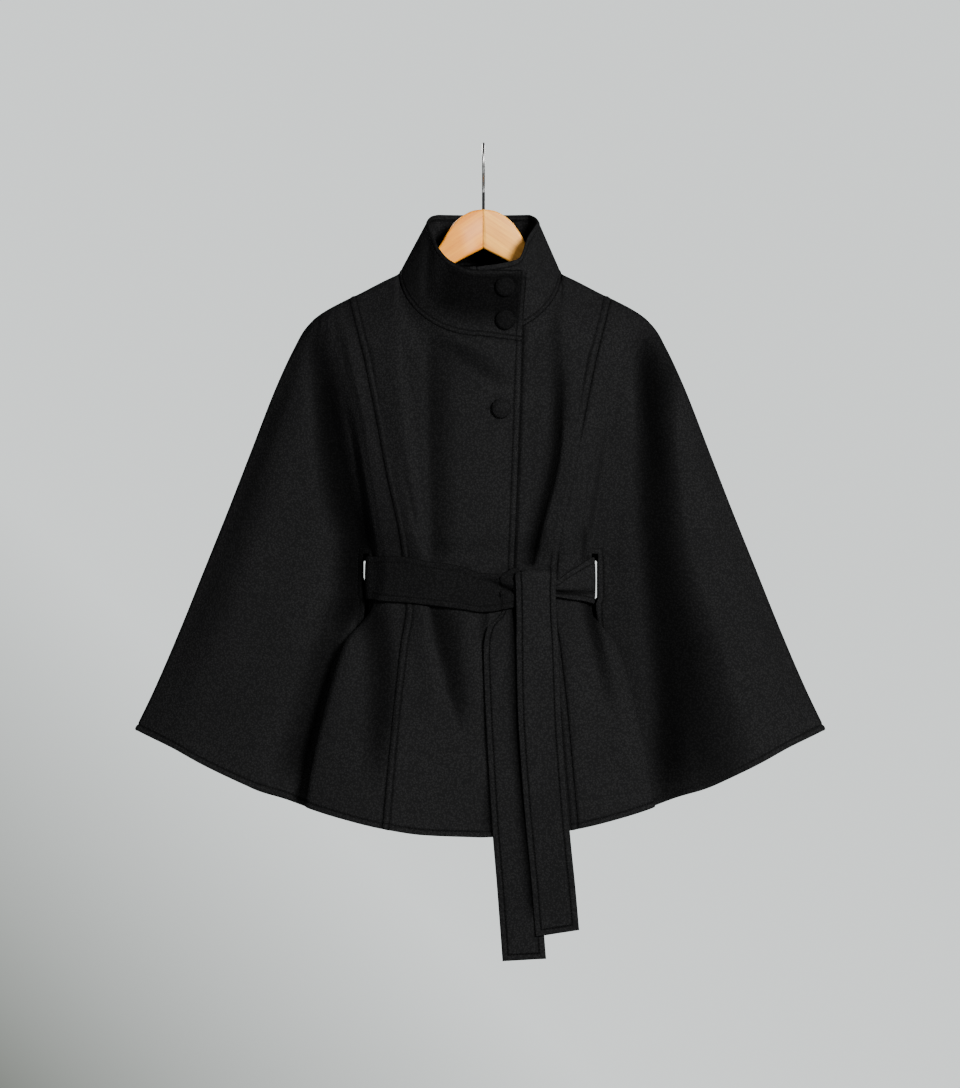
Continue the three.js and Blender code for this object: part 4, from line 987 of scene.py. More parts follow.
    def make_beech(self, beech: Beech) -> bpy.types.Material:
        """Beech boards: the grain is mirrored at the mitre, so it rises to the middle on both."""
        made, tree, shader = self.material("beech_board")
        place = add_node(tree, "TexCoord").outputs["Object"]
        mirror = add_node(tree, "VectorMath", {0: place}, operation="ABSOLUTE").outputs["Vector"]
        lean = add_node(tree, "Mapping", {"Vector": mirror,
                                          "Rotation": (0.0, math.radians(beech.slope), 0.0)})
        grain = add_node(tree, "Group", {"Vector": lean.outputs["Vector"]}, node_tree=self.grain_group)
        board = colour_ramp(tree, grain.outputs["Value"], beech.dark, beech.pale, (0.3, 0.7))
        parts = add_node(tree, "SeparateXYZ", {"Vector": place})
        is_left = add_node(tree, "Math", {0: parts.outputs["X"], 1: beech.mitre_x}, operation="GREATER_THAN")
        paler = add_node(tree, "Mix", {"Factor": is_left.outputs[0], "A": board,
                                       "B": (*beech.left_board, 1.0)},
                         data_type="RGBA", blend_type="MULTIPLY")
        bump = add_node(tree, "Bump", {"Height": grain.outputs["Rays"], "Strength": 0.12, "Distance": 0.0003})
        feed(tree, shader, {"Base Color": paler.outputs["Result"], "Normal": bump.outputs["Normal"],
                            "Roughness": beech.roughness, "Specular IOR Level": 0.3})
        return made

    def make_steel(self, steel: Steel) -> bpy.types.Material:
        """Bright wire with faint scratches in its roughness, black at its foot."""
        made, tree, shader = self.material("steel_wire")
        place = add_node(tree, "TexCoord").outputs["Object"]
        noise = add_node(tree, "TexNoise", {"Vector": place, "Scale": steel.scratches})
        spread = add_node(tree, "MapRange", {"Value": noise.outputs["Fac"], "To Min": steel.roughness - 0.07,
                                             "To Max": steel.roughness + 0.1})
        parts = add_node(tree, "SeparateXYZ", {"Vector": place})
        above = add_node(tree, "MapRange", {
            "Value": parts.outputs["Z"], "From Min": steel.sleeve_top - steel.sleeve_fade,
            "From Max": steel.sleeve_top,
        }).outputs["Result"]
        paint = add_node(tree, "Mix", {"Factor": above, "A": (*steel.paint, 1.0), "B": (*steel.colour, 1.0)},
                         data_type="RGBA")
        feed(tree, shader, {"Base Color": paint.outputs["Result"], "Metallic": above,
                            "Roughness": spread.outputs["Result"], "Specular IOR Level": 0.05})
        return made

    def make_floor(self, floor: Floor) -> bpy.types.Material:
        """The floor: a colour between two by a wide noise."""
        made, tree, shader = self.material("pale_floor")
        noise = add_node(tree, "TexNoise", {"Scale": 3.0})
        colour = colour_ramp(tree, noise.outputs["Fac"], floor.dark, floor.pale)
        feed(tree, shader, {"Base Color": colour, "Roughness": floor.roughness})
        return made


@dataclass(frozen=True)
class Cut:
    """How a cloth piece was cut and hangs: flat width, length and area, in metres."""

    width: float
    length: float
    area: float
    held: str = "hung"
    rests_on: tuple[str, ...] = ("hanger_arm_right", "hanger_arm_left")


def finish_piece(piece: bpy.types.Object, slot: str, *nodes: str) -> bpy.types.Object:
    """The piece rides with the coat and stands for its nodes, which are hidden."""
    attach(piece, "root")
    if nodes:
        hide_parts(*nodes)
    faces = len(piece.data.polygons)
    log.info("%s: %d points, %d faces", piece.name, len(piece.data.vertices), faces)
    return piece


def sew(name: str, lines: list[tuple[np.ndarray, np.ndarray]], finishes: Finishes) -> bpy.types.Object:
    """The topstitching of one piece, as a piece of its own."""
    vertices, faces = THREAD.stitches(lines)
    return finish_piece(rows_to_mesh(name, vertices, faces, finishes.thread), "wool")


@dataclass
class Panels:
    """The cut panels of the coat, each a wall with its edges, seams and slits stitched."""

    finishes: Finishes
    edge_stitch: float = 7.0
    seam_stitch: float = 8.5
    hem_stitch: float = 6.5
    slit_stitch: float = 6.0
    groove: float = 0.75
    groove_width: float = 0.95
    roll: float = 0.9
    tuck: float = 1.1
    edge_fall: float = 1.1
    ridge: float = 0.85
    inner_lip: float = 0.8
    outer_lip: float = 0.75
    row_spacing: float = 3.6
    column_spacing: float = 3.3

    @staticmethod
    def even(first: float, last: float, spacing: float) -> np.ndarray:
        """Even steps of about a spacing from first to last, without the first."""
        count = max(2, round(abs(last - first) / spacing))
        return steps(first, last, counts=(count,))[1:]

    def rows(self, fine: float) -> dict[str, np.ndarray]:
        """The rows of a panel's grid: drops below the top edge, shares, levels and insets from the hem."""
        spacing = self.row_spacing * fine
        return {
            "drop": np.array([0, 0.5, 1.2, 2.4, 4.5, 7, 10.0]),
            "upper": np.linspace(0, 1, 15)[1:],
            "level": np.concatenate([
                self.even(-300, -483, spacing),
                [-484.5, -485.3, -486, -486.7, -487.5, -489.5, -491.4, -492],
                self.even(-492, -682, spacing),
                [-682.6, -684.5, -686.6, -687.3, -688, -688.7, -689.5],
            ]),
            "lower": np.linspace(0, 1, round(140 / spacing))[1:],
            "hem": np.array([9.5, 8.2, 7.3, 6.5, 5.7, 4.4, 2.6, 1.2, 0.3, 0]),
        }

    @staticmethod
    def heights(half: HalfForm, a: np.ndarray, rows: dict[str, np.ndarray], hem: np.ndarray) -> np.ndarray:
        """Heights of the grid: each row runs level on the body and tips up along the wing.

        Args:
            half: the half of the coat.
            a: its columns.
            rows: from `rows`.
            hem: the hem's height on each column.

        Returns:
            Rows by columns of heights.
        """
        top = half.top(a)[2]
        wing = np.clip((a - LIP_OUT) / (OVERARM - LIP_OUT), 0, 1) ** 1.2

        def level(z: np.ndarray) -> np.ndarray:
            """A body height led across to the wing's matching height at the seam."""
            return mix(z, mix(-264, -590, (z + 300) / (-682 + 300)), wing)

        start, foot = level(np.array(-300.0)), level(rows["level"][-1])
        above = hem + 12
        parts = [
            top - rows["drop"][:, None],
            mix(top - 10, start, rows["upper"][:, None]),
            level(rows["level"][:, None]),
            mix(foot, above, rows["lower"][:, None]),
            hem + rows["hem"][:, None],
        ]
        return np.concatenate([np.broadcast_to(part, (len(part), len(a))) for part in parts])

    def shape(self, half: HalfForm, part: str, a: np.ndarray, z: np.ndarray,
              hem: np.ndarray) -> tuple[np.ndarray, np.ndarray]:
        """The outside with its creases, its pressed stitch lines and its rolled seams.

        A stitched line is a narrow bell curve sunk into the cloth; a seam rolls in over two millimetres,
        and the centre panel's side of it tucks under the wing's.

        Args:
            half: the half of the coat.
            part: centre, wing or whole.
            a: columns, in the grid's shape.
            z: heights, in the grid's shape.
            hem: the hem's height, in the grid's shape.

        Returns:
            Points and the painted shade, from 0 to 1: in the troughs, the stitch grooves and the rolled
            seams, with a painted shadow beside the right front's edge.
        """
        points = half.creased(a, z)
        creases = FRONT_CREASES if half.face is Face.FRONT else BACK_CREASES
        # Painted shade in the creases' troughs.
        shade = 0.85 * painted_trough_shade(crease_height(creases, points[..., 0], z))
        u = (points[..., 0] - COAT.mid_x) * half.side.value
        lines = [(z - hem) - self.hem_stitch]
        rolls = []
        faint, fall = np.ones_like(z), np.zeros_like(z)
        if half.face is Face.FRONT:
            seam = u - half.spot(np.full_like(a, PRINCESS), z)[0]
            hidden = ease(-318, -370, z) * (1 - ease(-480, -500, z)) if half.side is Side.LEFT else 0.0
            faint = faint - 0.75 * hidden * (a > 60)
            lines.append(np.where(a < 130, -seam - self.seam_stitch, 99))
            rolls.append(np.where(a < 150, np.abs(seam), 99))
            lines.append(np.where(a < 0, (a - half.edge) - self.edge_stitch, 99))
            fall = self.edge_fall * np.exp(-(a - half.edge) / 1.7) * (part == "centre")
            fall = fall + self.tuck * ease(-0.2, 0.6, seam) * (part == "centre")
        aside = np.where(a < 227, (LIP_IN - a) * self.inner_lip, (a - LIP_OUT) * self.outer_lip)
        box = np.maximum(aside, np.maximum(z - COAT.slit_top, COAT.slit_foot - z))
        lines.append(np.where((a > 205) & (a < 250), box - self.slit_stitch, 99))
        rolls.append(COAT.outline_half(z) - u)
        rolls.append(half.top(a)[2] - z + np.where(a < 84, 0, 99))
        # A painted shadow on the left front just past the right front's edge.
        if half is FRONT_LEFT:
            past_edge = points[..., 0] - (COAT.mid_x + FRONT_RIGHT.reach + FRONT_RIGHT.edge_lean(z))
            shade = np.maximum(shade, 0.7 * np.exp(-(((past_edge - 1.5) / 2.6) ** 2)))
        press_and_painted_shade = highest_bell(lines, 0.0, self.groove_width) * faint
        plump = highest_bell(lines, -4.0, 2.2)
        seamed = np.max([np.exp(-np.abs(roll) / 1.3) for roll in rolls], axis=0) * faint
        sink = self.groove * press_and_painted_shade + self.roll * np.where(np.abs(COAT.outline_half(z) - u) < 6, 0.0, seamed)
        normals = self.seam_normals(points, grid_normals(points, half.face), half.face)
        # Painted shade: in the stitch grooves, in the rolled seams and in the troughs.
        painted_panel_shade = np.maximum(np.maximum(0.65 * press_and_painted_shade, 0.75 * seamed), shade)
        return points - normals * (sink + fall - self.ridge * plump * faint)[..., None], painted_panel_shade

    @staticmethod
    def seam_normals(points: np.ndarray, normals: np.ndarray, face: Face) -> np.ndarray:
        """Normals led over to the quarter round's own beside the overarm seam.

        Their outward share is (radius - distance) / radius, in the plane seen from the front.
        """
        x, z = points[..., 0] - COAT.mid_x, points[..., 2]
        u = np.abs(x)
        near = COAT.outline_half(z) - u < COAT.seam_reach
        slope = COAT.ridge_at(u[near] + 0.5) - COAT.ridge_at(u[near] - 0.5)
        radius = mix(COAT.hanger_ridge, COAT.wing_ridge, ease(-215, -270, z[near]))
        share = np.clip(1 - COAT.seam_distance(u[near], z[near]) / radius, 0, 1)
        out = unit(np.stack([-np.sign(x[near]) * slope, np.zeros_like(slope), np.ones_like(slope)], -1))
        facing = np.array([0.0, float(face.value), 0.0])
        rounded = out * share[:, None] + facing * np.sqrt(1 - share**2)[:, None]
        led = normals.copy()
        led[near] = unit(mix(normals[near], rounded, ease(0.3, 0.7, share)[:, None]))
        return led

    def columns(self, half: HalfForm, part: str, fine: float) -> np.ndarray:
        """The columns of a panel's grid, closer at its edges, seams, folds and stitched lines."""
        spacing = self.column_spacing * fine
        edge = half.edge
        seam = PRINCESS - np.array([13, 10, 9.2, 8.5, 7.8, 7, 5, 3, 1.6, 0.7, 0.1, -0.5])
        if part == "centre":
            start = edge + np.array([0, 0.4, 1.0, 1.8, 3.0, 4.4, 5.6, 6.3, 7, 7.7, 8.6, 11])
            return np.concatenate([start, self.even(edge + 11, 96, spacing), seam])
        first = PRINCESS + np.array([0.15, 0.7, 1.6, 3.2, 5.5])
        inner = LIP_IN - np.array([11, 9.5, 8.4, 7.5, 6.6, 5.5, 3.5, 1.6, 0.4, 0])
        outer = LIP_OUT + np.array([0, 0.5, 1.8, 4, 6.2, 7.2, 8, 8.8, 9.8, 12])
        last = OVERARM - np.array([9, 6, 4, 2.6, 1.6, 0.9, 0.4, 0])
        fold = steps(180, 200, counts=(round(16 / fine),))[1:]
        behind = steps(200, 211, counts=(round(8 / fine),))[1:-1]
        across = steps(244, 471, counts=(max(2, round(200 / spacing)),))[1:-1]
        wing = [
            first, steps(117.5, 180, counts=(max(2, round(62 / spacing)),))[1:], fold, behind, inner,
            [225.3, 228.6], outer, across, last,
        ]
        if part == "wing":
            return np.concatenate(wing)
        return np.concatenate([[0], self.even(0, PRINCESS, spacing)[:-1], *wing])

    def build(self, name: str, halves: list[tuple[HalfForm, str]], node: str, cut: Cut, fine: float) -> None:
        """One panel: its grid or two joined at the middle, its wall, its slits and its stitches.

        Args:
            name: the piece's name.
            halves: the halves and which of their columns it takes, from right to left.
            node: the CAD node it stands for.
            cut: its flat cut; not used.
            fine: the spacing of its grid, 1 for the closest.
        """
        rows = self.rows(fine)
        grids, painted_panel_shades, holes, flats, lines = [], [], [], [], []
        for half, part in halves:
            a = self.columns(half, part, fine)
            hem = half.hem(a) - self.back_drop(half, a)
            z = self.heights(half, a, rows, hem)
            wide, low = np.broadcast_to(a, z.shape), np.broadcast_to(hem, z.shape)
            points, press_and_painted_shade = self.shape(half, part, wide, z, low)
            middle_a, middle_z = (a[1:] + a[:-1]) / 2, (z[1:] + z[:-1])[:, :-1] / 2
            hole = (middle_a > LIP_IN) & (middle_a < LIP_OUT)
            hole = hole & (middle_z < COAT.slit_top) & (middle_z > COAT.slit_foot)
            stretch = np.broadcast_to(run_length(points[60]), z.shape)
            flat = np.stack([half.side.value * stretch, z], -1)
            if half.face is Face.BACK and half.side is Side.RIGHT:
                points, press_and_painted_shade, hole, flat = points[:, ::-1], press_and_painted_shade[:, ::-1], hole[:, ::-1], flat[:, ::-1]
            lines += self.stitch_lines(half, part, hem, a)
            for kept, new in zip((grids, painted_panel_shades, holes, flats), (points, press_and_painted_shade, hole, flat)):
                kept.append(new)
        if len(grids) == 2:
            grids[1], painted_panel_shades[1], flats[1] = grids[1][:, 1:], painted_panel_shades[1][:, 1:], flats[1][:, 1:]
        points, press_and_painted_shade = np.concatenate(grids, 1), np.concatenate(painted_panel_shades, 1)
        hole, flat = np.concatenate(holes, 1), np.concatenate(flats, 1)
        face = halves[0][0].face
        normals = self.seam_normals(points, grid_normals(points, face), face)
        vertices, faces, by = drop_loose(*closed_wall(points, normals, COAT.wall, hole))
        piece = rows_to_mesh(name, vertices, faces, self.finishes.wool, flat.reshape(-1, 2)[by],
                             press_and_painted_shade.ravel()[by])
        finish_piece(piece, "wool", node)
        threads = sew(name + "_stitches", lines, self.finishes)

    @staticmethod
    def back_drop(half: HalfForm, a: np.ndarray) -> np.ndarray:
        """The back hangs a little lower beside the skirt, so its hem shows under the front's."""
        if half.face is Face.FRONT:
            return np.zeros_like(a)
        amount = 7.0 if half.side is Side.RIGHT else 3.0
        return amount * ease(196, 226, a) * (1 - ease(300, 420, a))

    def stitch_lines(self, half: HalfForm, part: str, hem: np.ndarray, a: np.ndarray) -> list:
        """Lines of stitches on a half: the hem, the edge or seam beside it, and round the slit.

        Args:
            half: the half of the coat.
            part: centre, wing or whole.
            hem: the hem's height on each column.
            a: the columns.

        Returns:
            Pairs of points and normals.
        """
        def laid(places: np.ndarray, heights: np.ndarray) -> tuple[np.ndarray, np.ndarray]:
            """Points on the cloth along a line, just above its groove, and the normals there."""
            places, heights = np.broadcast_arrays(np.asarray(places, float), np.asarray(heights, float))
            near = [half.creased(places + da, heights + dz) for da, dz in ((0, 0), (0.5, 0), (0, 0.5))]
            normal = unit(np.cross(near[1] - near[0], near[2] - near[0]))
            normal = normal * np.where(normal[:, 1:2] * half.face.value < 0, -1, 1)
            return near[0] - normal * (self.groove - 0.25), normal

        lows = np.array([a[0], a[-1]])
        found = []
        places = np.linspace(lows[0] + (self.edge_stitch if part == "centre" else 1), lows[1] - 1, 90)
        if part != "centre":
            places = np.linspace(lows[0] + 0.5, lows[1] - 3, 160)
        found.append(laid(places, np.interp(places, a, hem) + self.hem_stitch))
        if part == "centre":
            top = float(half.top(np.array(half.edge + self.edge_stitch))[2])
            foot = float(np.interp(half.edge + self.edge_stitch, a, hem)) + self.hem_stitch
            found.append(laid(half.edge + self.edge_stitch, np.linspace(top - 3, foot, 160)))
            top, foot = float(half.top(np.array(107.0))[2]) - 2, float(np.interp(105, a, hem)) + 7
            heights = np.linspace(top, foot, 160)
            target = half.spot(np.full(160, PRINCESS), heights)[0] - self.seam_stitch
            found.append(laid(half.place_across(target, heights), heights))
        else:
            top, foot = COAT.slit_top + self.slit_stitch, COAT.slit_foot - self.slit_stitch
            inner = LIP_IN - self.slit_stitch / self.inner_lip
            outer = LIP_OUT + self.slit_stitch / self.outer_lip
            down = np.linspace(top, foot, 60)
            found += [laid(inner, down), laid(outer, down)]
            across = np.linspace(inner, outer, 8)
            found += [laid(across, top), laid(across, foot)]
        return found

    def build_all(self) -> None:
        """The four front panels and the back."""
        self.build("front_right_centre_cloth", [(FRONT_RIGHT, "centre")], "front_right_centre",
                   Cut(0.20, 0.66, 0.105), 0.7)
        self.build("front_left_centre_cloth", [(FRONT_LEFT, "centre")], "front_left_centre",
                   Cut(0.16, 0.66, 0.083), 0.7)
        self.build("front_right_wing_cloth", [(FRONT_RIGHT, "wing")], "front_right_wing",
                   Cut(0.37, 0.68, 0.152), 1.0)
        self.build("front_left_wing_cloth", [(FRONT_LEFT, "wing")], "front_left_wing",
                   Cut(0.37, 0.68, 0.152), 1.0)
        self.build("back_cloth", [(BACK_RIGHT, "whole"), (BACK_LEFT, "whole")], "back",
                   Cut(0.92, 0.70, 0.45), 1.35)


@dataclass
class Collar:
    """The funnel collar: one band from the over end round the neck to the under end."""

    finishes: Finishes
    wall: float = 2.2
    lift: float = -0.6
    stitch: float = 6.0
    first: float = -30.0
    last: float = 367.0
    creases: tuple[Crease, ...] = (
        Crease(((428, 232), (426, 268), (425, 300)), -2.6, 5, 9, 20, 24),
        Crease(((534, 226), (536, 266), (543, 300)), 2.3, 7, 4, 20, 24),
        Crease(((529, 268), (533, 306)), -1.3, 8, 5, 24, 10),
        Crease(((470, 300), (500, 318), (512, 326)), -0.9, 9, 9, 12, 12),
        Crease(((552, 250), (552, 300)), -1.2, 7, 8, 20, 20),
    )

    def foot(self, round_: np.ndarray) -> np.ndarray:
        """Points of the neck seam at degrees round, from the middle of the front over the right."""
        right = round_ < 180
        from_front = np.where(right, round_, 360 - round_)
        front = COAT.neck_seam(Face.FRONT, 90 - from_front)
        back = COAT.neck_seam(Face.BACK, from_front - 90)
        is_front = from_front < 90
        u, depth, z = (np.where(is_front, f, b) for f, b in zip(front, back))
        under = np.where(is_front & ~right, FRONT_LEFT.under(u), 0)
        y = depth - under
        return np.stack([COAT.mid_x + np.where(right, -1, 1) * u, np.where(is_front, -y, y), z], -1)

    def point(self, round_: np.ndarray, share: np.ndarray) -> np.ndarray:
        """A point of the collar's outside: a straight line from the seam up to its upper edge."""
        top = np.stack([curve(column(COLLAR_TOP, 0), column(COLLAR_TOP, k), round_) for k in (1, 2, 3)], -1)
        foot = self.foot(round_)
        foot = foot + unit(top - foot) * self.lift
        return foot + (top - foot) * share[..., None]

    def build(self) -> None:
        """The band with its creases, its soft upper roll, stitched lines and stitches."""
        ends = np.array([0, 0.3, 1, 2.2, 3.4, 3.9, 4.3, 5])
        round_ = np.concatenate([self.first + ends, np.linspace(-24, 361, 200), self.last - ends[::-1]])
        foot = [0, 0.008, 0.025, 0.05, 0.068, 0.08, 0.092, 0.11]
        rim = [0.885, 0.9, 0.915, 0.93, 0.95, 0.975, 0.992, 1]
        share = np.concatenate([foot, np.linspace(0.14, 0.86, 22), rim])[::-1]
        wide, tall = np.meshgrid(round_, share)
        points = self.point(wide, tall)
        height = np.linalg.norm(points[0] - points[-1], axis=-1)
        from_end = np.minimum(wide - self.first, self.last - wide) * 1.45
        lines = [(1 - tall) * height - self.stitch, tall * height - self.stitch, from_end - self.stitch]
        press_and_painted_shade, plump = highest_bell(lines, 0.0, 0.8), highest_bell(lines, -3.2, 2.0)
        seamed = np.exp(-tall * height / 1.3)
        normals = grid_normals(points)
        in_front = np.clip(-normals[..., 1] * 1.5, 0, 1)
        wave = crease_height(self.creases, points[..., 0], points[..., 2]) * in_front
        wave = wave * ease(0, 0.16, tall) * (1 - 0.5 * ease(0.8, 1.0, tall)) * ease(4, 9, from_end)
        # Painted shade over the flap and the collar's side, painted lighter along the rims.
        flap_shade = 0.67 * (1 - ease(26, 50, wide)) * ease(0.0, 0.45, tall)
        side_shade = 0.16 * ease(26, 50, wide) * (1 - ease(80, 110, wide))
        front_shade = (flap_shade + side_shade) * (1 - 0.75 * plump)
        slack = 0.9 * np.sin(wide * 0.071) * np.sin(tall * 2.6)
        slack = slack * ease(95, 140, wide) * (1 - ease(240, 290, wide))
        points = points + normals * (wave + slack + 0.6 * plump - 0.7 * press_and_painted_shade - 0.9 * seamed)[..., None]
        normals = grid_normals(points)
        vertices, faces, by = closed_wall(points, normals, self.wall, rim=0.42)
        flat = np.stack([np.broadcast_to(run_length(points[20]), wide.shape), tall * 80], -1)
        # Painted shade in the stitch grooves, along the neck seam and over the flap.
        shade = np.max([0.7 * press_and_painted_shade, 0.8 * seamed, front_shade], axis=0)
        piece = rows_to_mesh("collar_cloth", vertices, faces, self.finishes.wool, flat.reshape(-1, 2)[by],
                             shade.ravel()[by])
        finish_piece(piece, "wool", "collar")
        across = np.linspace(self.first + 4.2, self.last - 4.2, 300)
        up = np.linspace(0.06, 0.92, 40)

        def laid(places: np.ndarray, shares: np.ndarray) -> tuple[np.ndarray, np.ndarray]:
            """Points and normals read off the finished grid."""
            rows = np.interp(shares, share[::-1], np.arange(len(share))[::-1])
            columns = np.interp(places, round_, np.arange(len(round_)))
            r = np.minimum(rows.astype(int), len(share) - 2)
            c = np.minimum(columns.astype(int), len(round_) - 2)
            down, right = (rows - r)[:, None], (columns - c)[:, None]

            def read(grid: np.ndarray) -> np.ndarray:
                """The grid between its four nearest points."""
                upper, lower = (mix(grid[row, c], grid[row, c + 1], right) for row in (r, r + 1))
                return mix(upper, lower, down)

            return read(points) + read(normals) * 0.2, read(normals)

        tall_at = np.interp(across, round_, height)
        lines = [laid(across, 1 - self.stitch / tall_at), laid(across, self.stitch / tall_at),
                 laid(np.full(40, self.first + 4.15), up)]
        threads = sew("collar_stitches", lines, self.finishes)


@dataclass
class Buttons:
    """Three cloth-covered domes, each with the end of its buttonhole beside it."""

    finishes: Finishes
    height: float = 7.8
    sink: float = 0.5
    seat: float = 0.4
    on_collar: tuple[tuple[str, float, float], ...] = (
        ("button_collar_top", 26.0, -173.0), ("button_collar_low", 26.0, -213.0),
    )
    on_front: tuple[str, float, float] = ("button_front", 21.0, -319.0)

    def button(self, name: str, node: str, centre: np.ndarray, normal: np.ndarray) -> None:
        """A covered button: a profile turned round its axis, its cloth pulled in faint gathers below.

        Args:
            name: the piece's name.
            node: the CAD node it stands for.
            centre: the middle of its seat on the cloth.
            normal: out of the cloth.
        """
        turn = np.linspace(0, 2 * np.pi, 64, endpoint=False)
        profile = np.array([
            (7.5, 0.0), (10.4, 0.1), (11.5, 0.7), (12.0, 1.7), (12.0, 2.7), (11.8, 3.6), (11.2, 4.6),
            (10.2, 5.5), (8.8, 6.3), (7.0, 6.95), (5.0, 7.4), (2.6, 7.7), (1.0, 7.78),
        ])
        radial, along = profile[:, :1], profile[:, 1:]
        pleat = 1 - 0.012 * (1 + np.cos(turn * 16)) * (along < 3.2)
        side = unit(np.cross(normal, np.array([0.0, 0.0, 1.0])))
        lift = unit(np.cross(side, normal))
        out = radial * pleat
        ring = centre + (out * np.cos(turn))[..., None] * side + (out * np.sin(turn))[..., None] * lift
        ring = ring + (along - self.sink)[..., None] * normal
        around = len(turn)
        ends = [centre - normal * self.sink, centre + normal * (self.height - self.sink)]
        vertices = np.concatenate([ring.reshape(-1, 3), ends])
        faces = capped_rings(len(profile), around)
        first = vertices[faces[0][0]]
        if (np.cross(first[1] - first[0], first[2] - first[0]) * (first[0] - centre)).sum() < 0:
            faces = [group[:, ::-1] for group in faces]
        # Painted shade: darker at the foot of the dome and over the collar's buttons.
        shaded = 0.5 if "collar" in node else 0.2
        shade = np.where(along[:, 0] < 1.2, 0.7, shaded)
        shade = np.concatenate([np.repeat(shade, around), [0.7, shaded]])
        piece = rows_to_mesh(name, vertices, faces, self.finishes.wool, vertices[:, [0, 2]], shade)
        finish_piece(piece, "wool", node)

    def buttonhole(self, name: str, middle: np.ndarray, normal: np.ndarray) -> None:
        """A worked buttonhole: a narrow ring of thread, a tube round a long slot with a bump a stitch."""
        turn = np.linspace(0, 2 * np.pi, 160, endpoint=False)
        around = np.linspace(0, 2 * np.pi, 8, endpoint=False)
        side = unit(np.cross(normal, np.array([0.0, 0.0, 1.0])))
        lift = unit(np.cross(side, normal))
        long_, short = 12.8, 0.7
        path = (middle + (long_ * np.sign(np.cos(turn)) * np.abs(np.cos(turn)) ** 0.6)[:, None] * side
                + (short * np.sign(np.sin(turn)) * np.abs(np.sin(turn)) ** 0.6)[:, None] * lift)
        forward = unit(np.roll(path, -1, 0) - np.roll(path, 1, 0))
        out = unit(np.cross(forward, normal))
        girth = (0.4 + 0.1 * np.cos(turn * 40))[:, None, None]
        ring = np.cos(around)[:, None] * out[:, None] + 0.8 * np.sin(around)[:, None] * normal
        tube = path[:, None] + girth * ring
        number = np.arange(len(turn) * len(around)).reshape(len(turn), len(around))
        down, right = np.roll(number, -1, 0), np.roll(number, -1, 1)
        both = np.roll(down, -1, 1)
        quads = np.stack([number, down, both, right], -1).reshape(-1, 4)
        piece = rows_to_mesh(name, tube.reshape(-1, 3), [quads], self.finishes.thread)
        finish_piece(piece, "wool")

    def build(self, collar: Collar) -> None:
        """The two buttons on the collar and the one on the front, square to the cloth under them."""
        round_, share = np.meshgrid(np.linspace(-30, 10, 81), np.linspace(0, 1, 51), indexing="ij")
        points = collar.point(round_, share)
        for name, x, z in self.on_collar:
            gap = np.hypot(points[..., 0] - x, points[..., 2] - z)
            best = np.unravel_index(gap.argmin(), gap.shape)
            beside = np.array([round_[best] + 6, round_[best]])
            above = np.array([share[best], share[best] + 0.1])
            self.place(name, points[best], collar.point(beside, above))
        name, x, z = self.on_front
        xs, zs = np.array([x, x + 8, x]), np.array([z, z, z + 8])
        spots = np.stack([xs, front_y(xs, zs), zs], -1)
        spots[:, 1] -= crease_height(FRONT_CREASES, xs, zs)
        self.place(name, spots[0], spots[1:])

    def place(self, name: str, at: np.ndarray, near: np.ndarray) -> None:
        """A button and its buttonhole at a point, square to two steps along the cloth."""
        normal = unit(np.cross(near[0] - at, near[1] - at))
        normal = normal if normal[1] < 0 else -normal
        self.button(name + "_cover", name, at + normal * self.seat, normal)
        side = unit(np.cross(normal, np.array([0.0, 0.0, 1.0])))
        self.buttonhole(name + "_hole", at - side * 4.5 * np.sign(side[0]) + normal * 0.25, normal)


